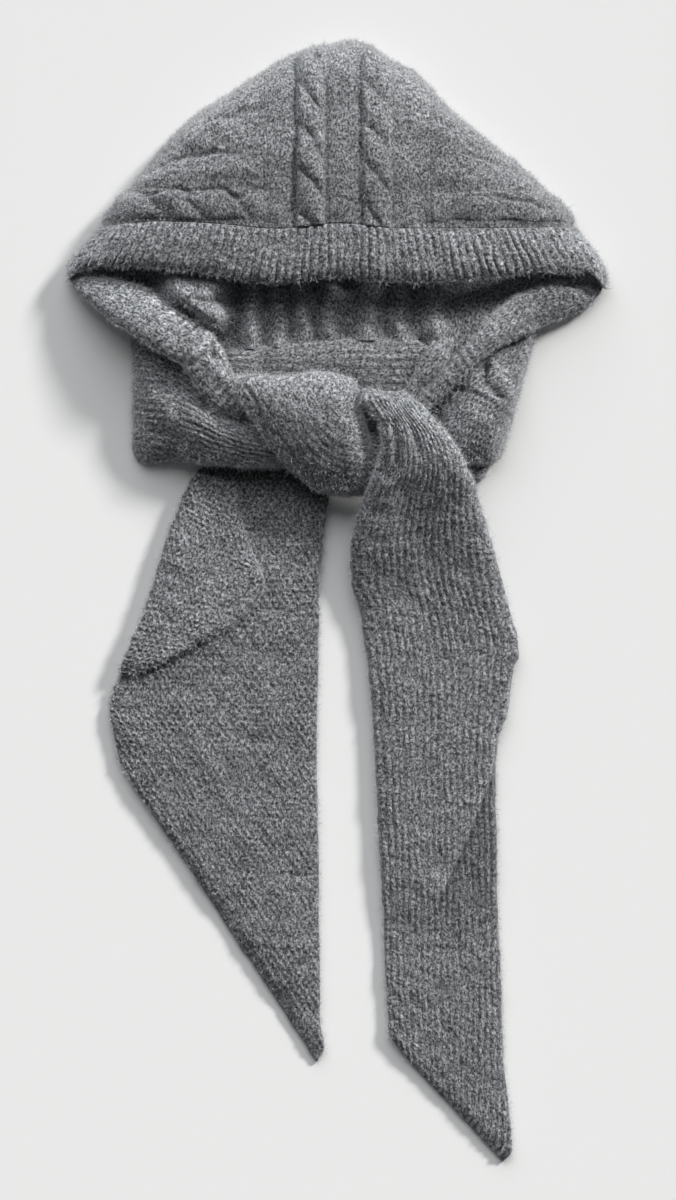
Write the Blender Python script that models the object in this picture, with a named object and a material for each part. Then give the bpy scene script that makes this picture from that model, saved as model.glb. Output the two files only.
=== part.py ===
"""Hooded scarf in thick felted wool, laid flat with its scarf ends tied in front.

Frame: metres, +Z up. The garment lies on z = 0 with the hood's point towards +Y and
the scarf ends towards -Y. The origin is under the middle of the whole garment.
Every table below is in millimetres and is scaled once, where the meshes are made.
"""
from collections import namedtuple
from math import pi

import bmesh
import bpy
import numpy as np

MM = 0.001                  # table unit in metres
GAP = 0.3                   # clearance between neighbouring pieces
WALL = 4.0                  # thickness of the hood's knit
BAND_WALL = 5.0             # thickness of the ribbed face band
RIM = 1.4                   # height of a cloth edge where it thins out

HOOD_HEIGHT = 51.0          # height of the hood's front layer above the table
HOOD_ROUNDNESS = 2.3        # how squarely the front layer rises from its sides
CROWN_FALL = 2.4            # how late the front layer falls towards the hood's point
BAND_STAND = 1.4            # how far the face band stands proud of the hood panels
BAND_DROP = 4.0             # how far the face band's free edge hangs below the seam
BACK_INSET = 6.5            # back panel's distance inside the hood's outline
BACK_HEIGHT = 4.5           # back panel's thickness between its ridges

BAND_RIBS = 60              # ribs along the face band's upper stretch
CHEEK_RIBS = 22             # ribs along each cheek stretch of the face band
RIB_HEIGHT = 0.9            # ribs of the face band
COLLAR_RIBS = 6             # ribs along the stretch behind the knot
TAIL_RIBS = 19              # lengthwise ribs of the right tail
SOFT_RIB_HEIGHT = 0.7       # ribs of the scarf stretches
TURN_HEIGHT = 3.0           # step down from the right tail's turned-over layer
TURN_SOFTNESS = 4.0         # width of that step

CENTRE_LEFT = -51.0         # seams between the hood's centre and side panels
CENTRE_RIGHT = 65.0
SEAM_DIP = 5.0              # cables and ridges sink into a seam over this width
CABLE_WIDTH = 20.0
CABLE_LENGTH = 28.0         # from one crossing of a cable to the next
CABLE_HEIGHT = 2.4

WOOL_GREY = (0.130, 0.136, 0.144, 1.0)
WOOL_ROUGHNESS = 0.95

EdgePoint = namedtuple("EdgePoint", "x y")
Section = namedtuple("Section", "left_x left_y left_z right_x right_y right_z crown under")
Cable = namedtuple("Cable", "x height")
Ridge = namedtuple("Ridge", "x0 y0 x1 y1 rise width")

# The hood's outline, from its left corner over the point to its right corner.
HOOD_OUTLINE = [
    EdgePoint(-166.0, 262.0), EdgePoint(-144.0, 288.0), EdgePoint(-119.0, 319.0),
    EdgePoint(-97.0, 341.0), EdgePoint(-63.0, 362.5), EdgePoint(-45.0, 374.5),
    EdgePoint(-21.0, 386.0), EdgePoint(2.0, 391.0), EdgePoint(10.0, 392.0),
    EdgePoint(20.0, 389.5), EdgePoint(34.0, 381.0), EdgePoint(52.0, 371.5),
    EdgePoint(76.0, 347.0), EdgePoint(105.0, 321.5), EdgePoint(135.0, 297.0),
    EdgePoint(168.0, 262.0),
]
# Where the face band is sewn on, and its free edge over the face opening.
BAND_SEAM = [
    EdgePoint(-166.0, 262.0), EdgePoint(-124.0, 264.5), EdgePoint(-84.0, 262.5),
    EdgePoint(-40.0, 258.8), EdgePoint(2.0, 262.5), EdgePoint(42.0, 259.0),
    EdgePoint(111.0, 259.7), EdgePoint(168.0, 261.5),
]
BAND_EDGE = [
    EdgePoint(-187.0, 233.0), EdgePoint(-151.0, 234.5), EdgePoint(-114.0, 231.0),
    EdgePoint(-69.0, 225.0), EdgePoint(-44.0, 222.5), EdgePoint(2.0, 225.5),
    EdgePoint(53.0, 222.0), EdgePoint(85.0, 223.5), EdgePoint(135.0, 229.5),
    EdgePoint(187.0, 230.5),
]
# Vertical cables of the centre panel.
CABLES = [Cable(-18.0, CABLE_HEIGHT), Cable(28.0, 0.85 * CABLE_HEIGHT)]
# Raised runs of the side panels, which follow the slopes of the hood.
SIDE_RIDGES = [
    Ridge(-55.0, 352.0, -120.0, 308.0, 2.0, 6.0),
    Ridge(-55.0, 335.0, -128.0, 300.0, 2.2, 6.0),
    Ridge(-55.0, 315.0, -140.0, 289.0, 2.2, 6.5),
    Ridge(-55.0, 294.0, -118.0, 290.0, 2.6, 7.0),
    Ridge(-118.0, 290.0, -150.0, 274.0, 2.2, 6.0),
    Ridge(-55.0, 274.0, -140.0, 273.0, 1.8, 6.0),
    Ridge(70.0, 342.0, 110.0, 316.0, 2.0, 6.0),
    Ridge(70.0, 328.0, 128.0, 302.0, 2.2, 6.0),
    Ridge(72.0, 308.0, 146.0, 284.0, 2.0, 6.5),
    Ridge(74.0, 291.0, 118.0, 286.0, 2.4, 6.5),
    Ridge(118.0, 286.0, 150.0, 270.0, 2.0, 6.0),
    Ridge(72.0, 272.0, 130.0, 271.0, 1.8, 6.0),
]
# Ridges of the hood's back layer, seen from inside through the face opening.
BACK_RIDGES = [
    Ridge(-58.0, 250.0, -60.0, 190.0, 8.0, 6.5),
    Ridge(-41.0, 252.0, -40.0, 190.0, 7.0, 6.5),
    Ridge(-22.0, 248.0, -25.0, 190.0, 7.5, 6.5),
    Ridge(-3.0, 250.0, -5.0, 192.0, 8.0, 7.5),
    Ridge(25.0, 250.0, 22.0, 192.0, 9.0, 8.5),
    Ridge(45.0, 248.0, 44.0, 192.0, 7.0, 7.0),
    Ridge(68.0, 246.0, 70.0, 190.0, 8.0, 8.0),
]
# The side of the hood that is turned in between the face band and the left cheek.
TURNED_IN_SIDE = [
    Ridge(-113.0, 231.0, -97.0, 207.0, 29.0, 11.0),
    Ridge(-93.0, 229.0, -87.0, 196.0, 25.0, 8.0),
]
BACK_LEFT = [
    EdgePoint(-160.0, 262.0), EdgePoint(-177.0, 246.0), EdgePoint(-183.0, 236.0),
    EdgePoint(-181.0, 230.5), EdgePoint(-166.0, 221.5), EdgePoint(-143.0, 214.0),
    EdgePoint(-126.0, 204.0), EdgePoint(-108.0, 193.0), EdgePoint(-96.0, 186.0),
]
BACK_RIGHT = [
    EdgePoint(162.0, 262.0), EdgePoint(177.0, 246.0), EdgePoint(183.0, 235.0),
    EdgePoint(181.0, 228.0), EdgePoint(162.0, 216.0), EdgePoint(138.0, 208.0),
    EdgePoint(116.0, 198.0), EdgePoint(100.0, 186.0),
]
# Lower edge of the back layer, just above the stretch that passes behind the knot.
BACK_LOW = [
    EdgePoint(-98.0, 175.5), EdgePoint(-83.0, 176.5), EdgePoint(-72.0, 180.5),
    EdgePoint(-39.0, 182.5), EdgePoint(-11.0, 186.0), EdgePoint(15.0, 187.5),
    EdgePoint(42.0, 186.0), EdgePoint(68.0, 183.0), EdgePoint(80.0, 176.5),
    EdgePoint(102.0, 179.0),
]

CHEEK_LEFT = [
    Section(-186.8, 229.8, 4.0, -181.5, 231.0, 4.0, 1.6, 3.8),
    Section(-185.0, 221.0, 9.0, -168.0, 229.0, 7.5, 5.5, 7.2),
    Section(-176.0, 210.5, 14.0, -156.0, 226.5, 12.0, 10.0, 12.0),
    Section(-161.0, 197.5, 20.5, -134.0, 219.5, 17.0, 12.0, 18.0),
    Section(-145.0, 188.0, 26.0, -118.0, 208.5, 22.0, 12.0, 24.0),
    Section(-131.0, 178.0, 30.0, -103.0, 198.0, 26.0, 11.5, 28.0),
    Section(-114.0, 168.0, 31.0, -88.5, 189.0, 28.5, 10.5, 30.0),
    Section(-101.0, 154.5, 30.5, -79.5, 176.0, 30.0, 9.0, 30.5),
    Section(-93.0, 142.0, 29.5, -74.0, 162.5, 30.0, 7.0, 30.0),
    Section(-82.0, 132.5, 28.5, -69.0, 151.0, 29.5, 5.0, 29.0),
    Section(-67.5, 126.5, 27.0, -58.0, 140.0, 28.5, 2.5, 28.0),
]
CHEEK_RIGHT = [
    Section(186.6, 222.0, 3.0, 180.5, 229.2, 4.5, 2.5, 3.4),
    Section(179.5, 208.5, 3.0, 167.0, 226.5, 8.5, 5.5, 5.6),
    Section(166.0, 200.5, 3.5, 152.0, 223.5, 12.5, 7.5, 7.5),
    Section(147.0, 194.0, 7.0, 131.0, 217.0, 17.0, 9.0, 12.0),
    Section(127.0, 185.0, 18.0, 112.0, 204.5, 22.5, 10.0, 21.0),
    Section(110.0, 176.5, 27.0, 99.5, 190.0, 28.0, 9.5, 28.0),
    Section(96.0, 165.5, 30.0, 88.5, 176.5, 30.0, 8.0, 30.5),
    Section(82.5, 153.5, 30.5, 76.5, 162.0, 30.5, 6.0, 31.0),
    Section(67.0, 139.0, 30.5, 60.0, 144.5, 30.5, 3.0, 31.0),
    Section(56.0, 127.5, 28.5, 50.5, 132.0, 28.5, 1.5, 28.5),
]
COLLAR = [
    Section(-80.0, 144.0, RIM, -82.0, 173.5, RIM, 18.0, 0.0),
    Section(-70.0, 139.0, RIM, -72.0, 178.5, RIM, 23.0, 0.0),
    Section(-40.0, 132.0, RIM, -39.0, 181.0, RIM, 26.0, 0.0),
    Section(-11.0, 130.0, RIM, -11.0, 184.5, RIM, 27.0, 0.0),
    Section(14.0, 130.0, RIM, 15.0, 186.0, RIM, 27.0, 0.0),
    Section(40.0, 131.0, RIM, 42.0, 184.5, RIM, 26.0, 0.0),
    Section(58.0, 138.0, RIM, 68.0, 181.0, RIM, 24.0, 0.0),
    Section(66.0, 148.0, RIM, 79.0, 172.0, RIM, 18.0, 0.0),
]
COLLAR_FOLD = [
    Section(67.0, 182.0, 27.0, 79.0, 173.0, 27.0, 4.0, 26.5),
    Section(63.0, 176.5, 28.5, 77.0, 167.5, 28.5, 7.0, 28.5),
    Section(56.0, 164.0, 29.0, 70.0, 156.5, 29.0, 7.5, 29.0),
    Section(48.5, 151.5, 29.0, 59.5, 146.5, 29.0, 5.0, 29.0),
    Section(44.0, 144.0, 28.8, 52.5, 140.5, 28.8, 3.0, 28.8),
    Section(41.0, 138.5, 28.0, 47.0, 136.0, 28.0, 1.5, 28.0),
]
WRAP_LEFT = [
    Section(-143.5, 184.0, RIM, -142.0, 105.0, RIM, 1.0, 0.0),
    Section(-140.5, 191.0, RIM, -139.5, 99.0, RIM, 10.0, 0.0),
    Section(-129.0, 190.0, RIM, -127.0, 96.5, RIM, 22.0, 0.0),
    Section(-117.0, 182.0, RIM, -113.0, 97.5, 2.0, 25.5, 0.0),
    Section(-106.0, 172.0, RIM, -99.0, 96.5, 9.0, 25.0, 0.0),
    Section(-96.0, 158.0, RIM, -84.0, 95.0, 9.5, 25.0, 0.0),
    Section(-84.5, 146.0, RIM, -66.0, 93.5, 9.5, 25.0, 0.0),
    Section(-66.0, 133.5, RIM, -48.0, 93.5, 9.5, 23.0, 0.0),
    Section(-48.0, 128.0, RIM, -30.0, 94.5, 9.5, 18.0, 0.0),
    Section(-20.0, 127.5, RIM, -8.0, 96.5, 9.5, 12.0, 0.0),
    Section(20.0, 127.5, RIM, 16.0, 94.0, 8.0, 9.0, 0.0),
    Section(50.0, 126.0, RIM, 44.0, 94.0, RIM, 6.0, 0.0),
]
WRAP_RIGHT = [
    Section(143.0, 196.0, RIM, 114.0, 100.5, RIM, 1.0, 0.0),
    Section(137.0, 194.0, RIM, 109.0, 97.5, 8.0, 15.0, 0.0),
    Section(125.0, 187.0, RIM, 101.0, 96.5, 10.0, 22.0, 0.0),
    Section(110.0, 177.0, RIM, 94.0, 96.0, 10.0, 25.0, 0.0),
    Section(95.0, 164.0, RIM, 87.0, 95.0, 10.0, 25.0, 0.0),
    Section(80.0, 147.0, RIM, 79.0, 95.0, 9.0, 22.0, 0.0),
    Section(67.0, 142.0, RIM, 70.0, 98.0, 5.0, 15.0, 0.0),
    Section(60.0, 134.5, RIM, 60.0, 99.0, 3.0, 8.0, 0.0),
]
WRAP_RIGHT_UNDER = [
    Section(70.0, 92.0, RIM, 90.0, 80.0, RIM, 2.0, 0.0),
    Section(77.0, 93.5, RIM, 98.0, 83.0, RIM, 4.4, 0.0),
    Section(84.0, 94.5, RIM, 104.0, 88.0, RIM, 4.4, 0.0),
    Section(92.0, 95.5, RIM, 107.0, 93.5, RIM, 2.0, 0.0),
]
KNOT = [
    Section(-72.5, 151.5, 36.5, -69.0, 158.0, 36.5, 2.5, 36.0),
    Section(-70.0, 143.5, 36.5, -56.0, 158.5, 36.0, 8.0, 36.0),
    Section(-61.5, 129.5, 36.0, -36.0, 157.5, 35.5, 12.0, 35.5),
    Section(-50.5, 113.0, 34.0, -14.0, 160.0, 35.0, 15.0, 34.0),
    Section(-38.0, 98.0, 31.0, 3.0, 158.5, 35.5, 17.0, 33.0),
    Section(-26.0, 86.0, 26.5, 13.5, 152.5, 36.0, 18.0, 31.0),
    Section(-10.0, 75.5, 20.5, 17.0, 135.0, 35.0, 19.0, 27.0),
    Section(4.0, 73.5, 16.5, 24.0, 112.5, 28.0, 18.0, 22.0),
    Section(15.0, 74.0, 13.5, 28.5, 92.5, 16.0, 9.0, 15.0),
    Section(21.0, 75.0, 11.5, 25.0, 80.0, 11.5, 2.5, 11.0),
]
TAIL_LEFT = [
    Section(-93.0, 96.5, RIM, -8.0, 95.0, RIM, 1.8, 0.0),
    Section(-97.5, 91.0, RIM, -5.0, 82.0, RIM, 2.8, 0.0),
    Section(-105.0, 80.5, RIM, -6.5, 67.0, RIM, 3.8, 0.0),
    Section(-112.0, 62.0, RIM, -10.0, 46.0, RIM, 4.4, 0.0),
    Section(-119.0, 41.0, RIM, -12.0, 19.0, RIM, 4.4, 0.0),
    Section(-129.0, 11.0, RIM, -12.5, -21.0, RIM, 4.4, 0.0),
    Section(-138.0, -16.0, RIM, -14.0, -68.0, RIM, 4.4, 0.0),
    Section(-148.0, -42.5, RIM, -14.5, -111.0, RIM, 4.6, 0.0),
    Section(-156.5, -61.0, RIM, -13.0, -165.0, RIM, 4.8, 0.0),
    Section(-159.0, -74.0, RIM, -12.5, -215.0, RIM, 4.8, 0.0),
    Section(-157.0, -89.0, RIM, -12.0, -262.0, RIM, 4.8, 0.0),
    Section(-152.0, -110.0, RIM, -11.5, -296.0, RIM, 4.6, 0.0),
    Section(-147.5, -119.0, RIM, -9.0, -312.0, RIM, 4.0, 0.0),
    Section(-146.0, -122.5, RIM, -14.0, -322.0, RIM, 0.8, 0.0),
]
FLAP_LEFT = [
    Section(-98.0, 91.0, 7.0, -71.0, 84.0, 7.0, 0.8, 6.2),
    Section(-105.7, 80.0, 7.6, -67.0, 60.0, 7.7, 2.8, 6.9),
    Section(-112.7, 62.0, 7.7, -59.0, 35.0, 7.8, 4.0, 7.0),
    Section(-119.7, 41.0, 7.7, -50.0, 12.0, 7.8, 4.6, 7.0),
    Section(-129.7, 10.0, 7.7, -70.0, -13.5, 8.2, 5.0, 7.2),
    Section(-139.2, -17.0, 7.7, -93.0, -26.5, 9.0, 5.2, 7.6),
    Section(-147.2, -37.0, 7.8, -119.0, -40.0, 9.4, 4.8, 7.8),
    Section(-152.0, -48.0, 7.8, -144.0, -51.0, 8.2, 1.6, 7.4),
]
TAIL_RIGHT = [
    Section(17.5, 147.0, 38.0, 43.0, 145.5, 38.0, 2.0, 37.0),
    Section(21.0, 139.0, 37.5, 57.5, 133.5, 37.5, 10.0, 36.5),
    Section(28.0, 131.0, 36.0, 67.0, 123.0, 34.5, 14.0, 35.0),
    Section(33.5, 119.0, 35.0, 76.0, 112.5, 31.5, 15.5, 33.0),
    Section(33.0, 106.0, 32.0, 83.0, 102.0, 29.5, 16.0, 30.5),
    Section(29.5, 92.0, 25.5, 89.5, 90.0, 25.0, 16.5, 25.0),
    Section(22.0, 75.0, 15.0, 95.0, 77.0, 16.0, 18.0, 15.5),
    Section(15.5, 58.0, 7.0, 100.0, 61.0, 8.0, 18.0, 7.0),
    Section(11.5, 38.0, 2.5, 105.5, 43.0, 3.0, 15.5, 1.5),
    Section(12.0, 17.0, RIM, 112.0, 18.0, RIM, 10.5, 0.0),
    Section(17.0, -2.0, RIM, 118.0, -8.0, RIM, 7.6, 0.0),
    Section(20.5, -22.0, RIM, 124.0, -27.0, RIM, 6.4, 0.0),
    Section(21.8, -32.0, RIM, 125.0, -34.0, RIM, 6.2, 0.0),
    Section(23.5, -46.0, RIM, 122.5, -44.0, RIM, 6.0, 0.0),
    Section(27.0, -75.0, RIM, 117.0, -74.0, RIM, 5.6, 0.0),
    Section(28.5, -111.0, RIM, 111.0, -112.0, RIM, 5.4, 0.0),
    Section(31.0, -150.0, RIM, 111.5, -158.0, RIM, 5.2, 0.0),
    Section(32.5, -190.0, RIM, 112.5, -210.0, RIM, 5.0, 0.0),
    Section(33.0, -230.0, RIM, 114.0, -262.0, RIM, 5.0, 0.0),
    Section(34.5, -270.0, RIM, 116.5, -318.0, RIM, 5.0, 0.0),
    Section(36.5, -299.0, RIM, 121.5, -372.0, RIM, 4.8, 0.0),
    Section(38.0, -305.0, RIM, 122.0, -385.0, RIM, 4.0, 0.0),
    Section(40.5, -310.0, RIM, 116.0, -392.0, RIM, 0.8, 0.0),
]
# The edge where the right tail's upper layer turns over, from top to bottom.
TURN_EDGE = [
    EdgePoint(135.0, -20.0), EdgePoint(124.0, -60.0), EdgePoint(111.0, -96.0),
    EdgePoint(108.0, -118.0), EdgePoint(95.0, -154.0), EdgePoint(80.0, -189.0),
    EdgePoint(61.0, -230.0),
]


def curve_through(knots, values, at):
    """A smooth curve through the table's values that never swings past them."""
    knots = np.asarray(knots, float)
    values = np.asarray(values, float)
    slopes = np.diff(values) / np.diff(knots)
    tangents = np.zeros_like(values)
    tangents[0], tangents[-1] = slopes[0], slopes[-1]
    before, after = slopes[:-1], slopes[1:]
    same_way = before * after > 0
    mean = 2 * before * after / np.where(same_way, before + after, 1.0)
    tangents[1:-1] = np.where(same_way, mean, 0.0)
    at = np.clip(at, knots[0], knots[-1])
    span = np.clip(np.searchsorted(knots, at, side="right") - 1, 0, len(knots) - 2)
    width = knots[span + 1] - knots[span]
    t = (at - knots[span]) / width
    start = values[span] * (1 + 2 * t) + tangents[span] * width * t
    end = values[span + 1] * (3 - 2 * t) - tangents[span + 1] * width * (1 - t)
    return start * (1 - t) ** 2 + end * t ** 2


def edge_y(points, x):
    """The height in Y of an outline or seam at each x."""
    return curve_through([p.x for p in points], [p.y for p in points], x)


def edge_x(points, y):
    """The x of a side edge at each y, for edges listed from the top down."""
    rising = points[::-1]
    return curve_through([p.y for p in rising], [p.x for p in rising], y)


def dome(across, fullness):
    """1 in the middle of a section and 0 at its two edges; fuller means flatter."""
    side = np.clip(np.abs(2 * across - 1), 0, 1)
    return (1 - side ** fullness) ** (1 / fullness)


def ease(t):
    """A soft step from 0 to 1."""
    t = np.clip(t, 0, 1)
    return t * t * (3 - 2 * t)


def ridge_relief(ridges, x, y):
    """Height of the tallest soft ridge at each point."""
    height = np.zeros_like(x)
    for ridge in ridges:
        run_x, run_y = ridge.x1 - ridge.x0, ridge.y1 - ridge.y0
        length = np.hypot(run_x, run_y)
        along = ((x - ridge.x0) * run_x + (y - ridge.y0) * run_y) / length ** 2
        near = np.clip(along, 0, 1)
        away = np.hypot(x - ridge.x0 - near * run_x, y - ridge.y0 - near * run_y)
        height = np.maximum(height, ridge.rise * np.exp(-(away / ridge.width) ** 2))
    return height


def cable_relief(x, y):
    """Two strands that cross over each other, for each vertical cable."""
    height = np.zeros_like(x)
    turn = pi * y / CABLE_LENGTH
    swing = 0.25 * CABLE_WIDTH * np.sin(turn)
    strand = 0.28 * CABLE_WIDTH
    for cable in CABLES:
        for side in (-1, 1):
            away = (x - cable.x - side * swing) / strand
            over = 0.78 + 0.22 * side * np.cos(turn)
            height = np.maximum(height, cable.height * over * np.exp(-away ** 2))
    return height


def normals(points):
    """Unit normals of a grid of points, pointing up on the whole."""
    along = np.gradient(points, axis=0)
    across = np.gradient(points, axis=1)
    normal = np.cross(along, across)
    normal /= np.linalg.norm(normal, axis=2, keepdims=True)
    return normal if normal[..., 2].mean() > 0 else -normal


def wool(name):
    material = bpy.data.materials.new(name)
    material.use_nodes = True
    shader = material.node_tree.nodes["Principled BSDF"]
    shader.inputs["Base Color"].default_value = WOOL_GREY
    shader.inputs["Roughness"].default_value = WOOL_ROUGHNESS
    shader.inputs["Metallic"].default_value = 0.0
    return material


def closed_cloth(name, outer, inner, row_step, column_step, collection):
    """Close an outer grid with an inner one that has fewer rows and columns."""
    rows, columns = outer.shape[:2]
    inner = inner[::row_step, ::column_step]
    inner_rows, inner_columns = inner.shape[:2]
    points = np.concatenate([outer.reshape(-1, 3), inner.reshape(-1, 3)]) * MM

    def top(row, column):
        return row * columns + column

    def low(row, column):
        return rows * columns + row * inner_columns + column

    faces = [(top(r, c), top(r, c + 1), top(r + 1, c + 1), top(r + 1, c))
             for r in range(rows - 1) for c in range(columns - 1)]
    faces += [(low(r, c), low(r + 1, c), low(r + 1, c + 1), low(r, c + 1))
              for r in range(inner_rows - 1) for c in range(inner_columns - 1)]
    for r in range(inner_rows - 1):
        run = range(r * row_step, (r + 1) * row_step + 1)
        faces.append([top(i, 0) for i in run] + [low(r + 1, 0), low(r, 0)])
        last, low_last = columns - 1, inner_columns - 1
        faces.append([top(i, last) for i in reversed(run)] + [low(r, low_last), low(r + 1, low_last)])
    for c in range(inner_columns - 1):
        run = range(c * column_step, (c + 1) * column_step + 1)
        faces.append([top(0, i) for i in reversed(run)] + [low(0, c), low(0, c + 1)])
        last, low_last = rows - 1, inner_rows - 1
        faces.append([top(last, i) for i in run] + [low(low_last, c + 1), low(low_last, c)])

    mesh = bpy.data.meshes.new(name)
    mesh.from_pydata(points.tolist(), [], [tuple(face) for face in faces])
    shape = bmesh.new()
    shape.from_mesh(mesh)
    bmesh.ops.recalc_face_normals(shape, faces=shape.faces)
    bmesh.ops.triangulate(shape, faces=shape.faces)
    shape.to_mesh(mesh)
    shape.free()
    mesh.shade_smooth()
    mesh.materials.append(wool(name + "_wool"))
    cloth = bpy.data.objects.new(name, mesh)
    collection.objects.link(cloth)
    return cloth


def hood_rise(share):
    """Height of the hood's front layer along the seam, from corner 0 to corner 1."""
    return HOOD_HEIGHT * dome(share, HOOD_ROUNDNESS)


def hood_front(x, climb):
    """Front layer over the table: climb runs from the seam, 0, to the outline, 1."""
    left, right = BAND_SEAM[0].x, BAND_SEAM[-1].x
    seam, outline = edge_y(BAND_SEAM, x), edge_y(HOOD_OUTLINE, x)
    y = seam + GAP / 2 + (outline - seam - GAP / 2) * climb
    z = hood_rise((x - left) / (right - left)) * (1 - climb ** CROWN_FALL) ** (1 / CROWN_FALL)
    return np.stack([x, y, z], axis=-1)


def hood_panel(name, start_x, end_x, columns, rows, relief, collection):
    """A panel of the front layer between two seams."""
    share = np.linspace(0, 1, columns)
    climb = 1 - (1 - np.linspace(0, 1, rows)) ** 1.6
    x = start_x + (end_x - start_x) * share
    grid_x, grid_climb = np.meshgrid(x, climb)
    surface = hood_front(grid_x, grid_climb)
    outward = normals(surface)
    seam_away = np.minimum(share, 1 - share) * abs(end_x - start_x)
    fade = ease((1 - grid_climb) / 0.12) * ease(grid_climb / 0.05) * ease(seam_away / SEAM_DIP)
    raised = relief(surface[..., 0], surface[..., 1]) * fade
    outer = surface + outward * raised[..., None]
    inner = surface - outward * WALL
    inner[-1, :, :2] = surface[-1, :, :2]
    inner[-1, :, 1] -= WALL
    outer[..., 2] = np.maximum(outer[..., 2], 0)
    inner[..., 2] = np.maximum(inner[..., 2], 0)
    inner[-1, :, 2] = 0
    return closed_cloth(name, outer, inner, 2, 2, collection)


def side_relief(x, y):
    return ridge_relief(SIDE_RIDGES, x, y)


def face_band_top(collection):
    """Ribbed band over the face opening, with its ribs across it."""
    columns, rows = 2 * BAND_RIBS + 1, 5
    share, drop = np.meshgrid(np.linspace(0, 1, columns), np.linspace(0, 1, rows))
    seam_x = BAND_SEAM[0].x + (BAND_SEAM[-1].x - BAND_SEAM[0].x) * share
    free_x = BAND_EDGE[0].x + (BAND_EDGE[-1].x - BAND_EDGE[0].x) * share
    seam_y, free_y = edge_y(BAND_SEAM, seam_x) - GAP / 2, edge_y(BAND_EDGE, free_x)
    x = seam_x + (free_x - seam_x) * drop
    y = seam_y + (free_y - seam_y) * drop
    bulge = BAND_STAND * dome(drop, 3.0)
    lowered = BAND_DROP * drop ** 3
    ends = ease(share / 0.05) * ease((1 - share) / 0.05)
    z = np.maximum(hood_rise(share), 9.0) + (bulge - lowered) * ends
    surface = np.stack([x, y, z], axis=-1)
    outward = normals(surface)
    rib = np.where(np.arange(columns) % 2 == 1, RIB_HEIGHT, 0.0)
    outer = surface + outward * rib[None, :, None]
    inner = surface - outward * BAND_WALL
    inner[..., 2] = np.maximum(inner[..., 2], 1.0)
    return closed_cloth("face_band_top", outer, inner, 2, 4, collection)


def strip(sections, rows, across):
    """Upper and lower surface of a stretch of cloth lofted through its sections."""
    middle = [((s.left_x + s.right_x) / 2, (s.left_y + s.right_y) / 2) for s in sections]
    steps = np.linalg.norm(np.diff(np.array(middle), axis=0), axis=1)
    knots = np.concatenate([[0], np.cumsum(steps)])
    at = knots[-1] * rows
    column = {field: curve_through(knots, [getattr(s, field) for s in sections], at)[:, None]
              for field in Section._fields}
    v = across[None, :]
    x = column["left_x"] + (column["right_x"] - column["left_x"]) * v
    y = column["left_y"] + (column["right_y"] - column["left_y"]) * v
    edge = column["left_z"] + (column["right_z"] - column["left_z"]) * v
    return x, y, edge, column["crown"], column["under"]


def lofted(name, sections, row_shares, across, fullness, relief, steps, collection,
           under_fullness=4.0):
    """A stretch of cloth with a domed top, over a flat or lifted underside."""
    x, y, edge, crown, under = strip(sections, row_shares, across)
    v = np.broadcast_to(across[None, :], x.shape)
    u = np.broadcast_to(row_shares[:, None], x.shape)
    body = dome(v, fullness)
    surface = np.stack([x, y, edge + RIM / 2 + crown * body], axis=-1)
    outward = normals(surface)
    raised = relief(u, v, x, y) * np.minimum(body * 1.2, 1.0)
    raised[0] = raised[-1] = 0
    outer = surface + outward * raised[..., None]
    low = edge - RIM / 2 + (under - edge + RIM / 2) * dome(v, under_fullness)
    middle_low = np.where(under > 0, low, np.minimum(low, edge - RIM / 2))
    inner = np.stack([x, y, np.maximum(middle_low, 0)], axis=-1)
    return closed_cloth(name, outer, inner, steps[0], steps[1], collection)


def rounded_spacing(count):
    """Columns that gather towards the two edges, where a section curves most."""
    return 0.5 - 0.5 * np.cos(pi * np.linspace(0, 1, count))


def no_relief(u, v, x, y):
    return np.zeros_like(x)


def ribs_along(count, height):
    """Ribs that run the length of a stretch."""
    def relief(u, v, x, y):
        return height * np.sin(pi * count * v) ** 2
    return relief


def turned_ribs(u, v, x, y):
    """The right tail's ribs, and the step at its turned-over layer's edge."""
    edge, last = edge_x(TURN_EDGE, y), TURN_EDGE[-1].y
    left_of_edge = ease((edge - x) / TURN_SOFTNESS + 0.5)
    fade = ease((y - last) / (TURN_EDGE[2].y - last))
    return TURN_HEIGHT * left_of_edge * fade + ribs_along(TAIL_RIBS, SOFT_RIB_HEIGHT)(u, v, x, y)


def ribs_across(count, height):
    """Ribs that cross a stretch from edge to edge."""
    def relief(u, v, x, y):
        return height * np.sin(pi * count * u) ** 2
    return relief


def back_panel(collection):
    """The hood's back layer: it lies on the table, and its ridges show in the mouth."""
    rows, columns = 21, 37
    top_y, low_y = 366.0, BACK_LEFT[-1].y
    climb = np.linspace(0, 1, rows) ** 1.5
    y_line = low_y + (top_y - low_y) * climb
    outline_x = np.array([p.x for p in HOOD_OUTLINE])
    outline_y = np.array([p.y for p in HOOD_OUTLINE])
    peak = int(np.argmax(outline_y))
    left = curve_through(outline_y[:peak + 1], outline_x[:peak + 1], y_line) + 1.6 * BACK_INSET
    right = curve_through(outline_y[peak:][::-1], outline_x[peak:][::-1], y_line) - 1.6 * BACK_INSET
    left = np.where(y_line < 262.0, edge_x(BACK_LEFT, y_line), left)
    right = np.where(y_line < 262.0, edge_x(BACK_RIGHT, y_line), right)
    share = np.linspace(0, 1, columns)
    x = left[:, None] + (right - left)[:, None] * share[None, :]
    y = y_line[:, None] + (edge_y(BACK_LOW, x) - low_y) * (1 - climb[:, None]) ** 4
    edge = np.minimum(dome(np.broadcast_to(share, x.shape), 8.0), 1.0)
    relief = np.maximum(ridge_relief(BACK_RIDGES, x, y), ridge_relief(TURNED_IN_SIDE, x, y))
    z = RIM + (BACK_HEIGHT - RIM) * edge + relief * edge
    outer = np.stack([x, y, z], axis=-1)
    inner = np.stack([x, y, np.zeros_like(z)], axis=-1)
    return closed_cloth("hood_back_panel", outer, inner, 4, 4, collection)


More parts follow.
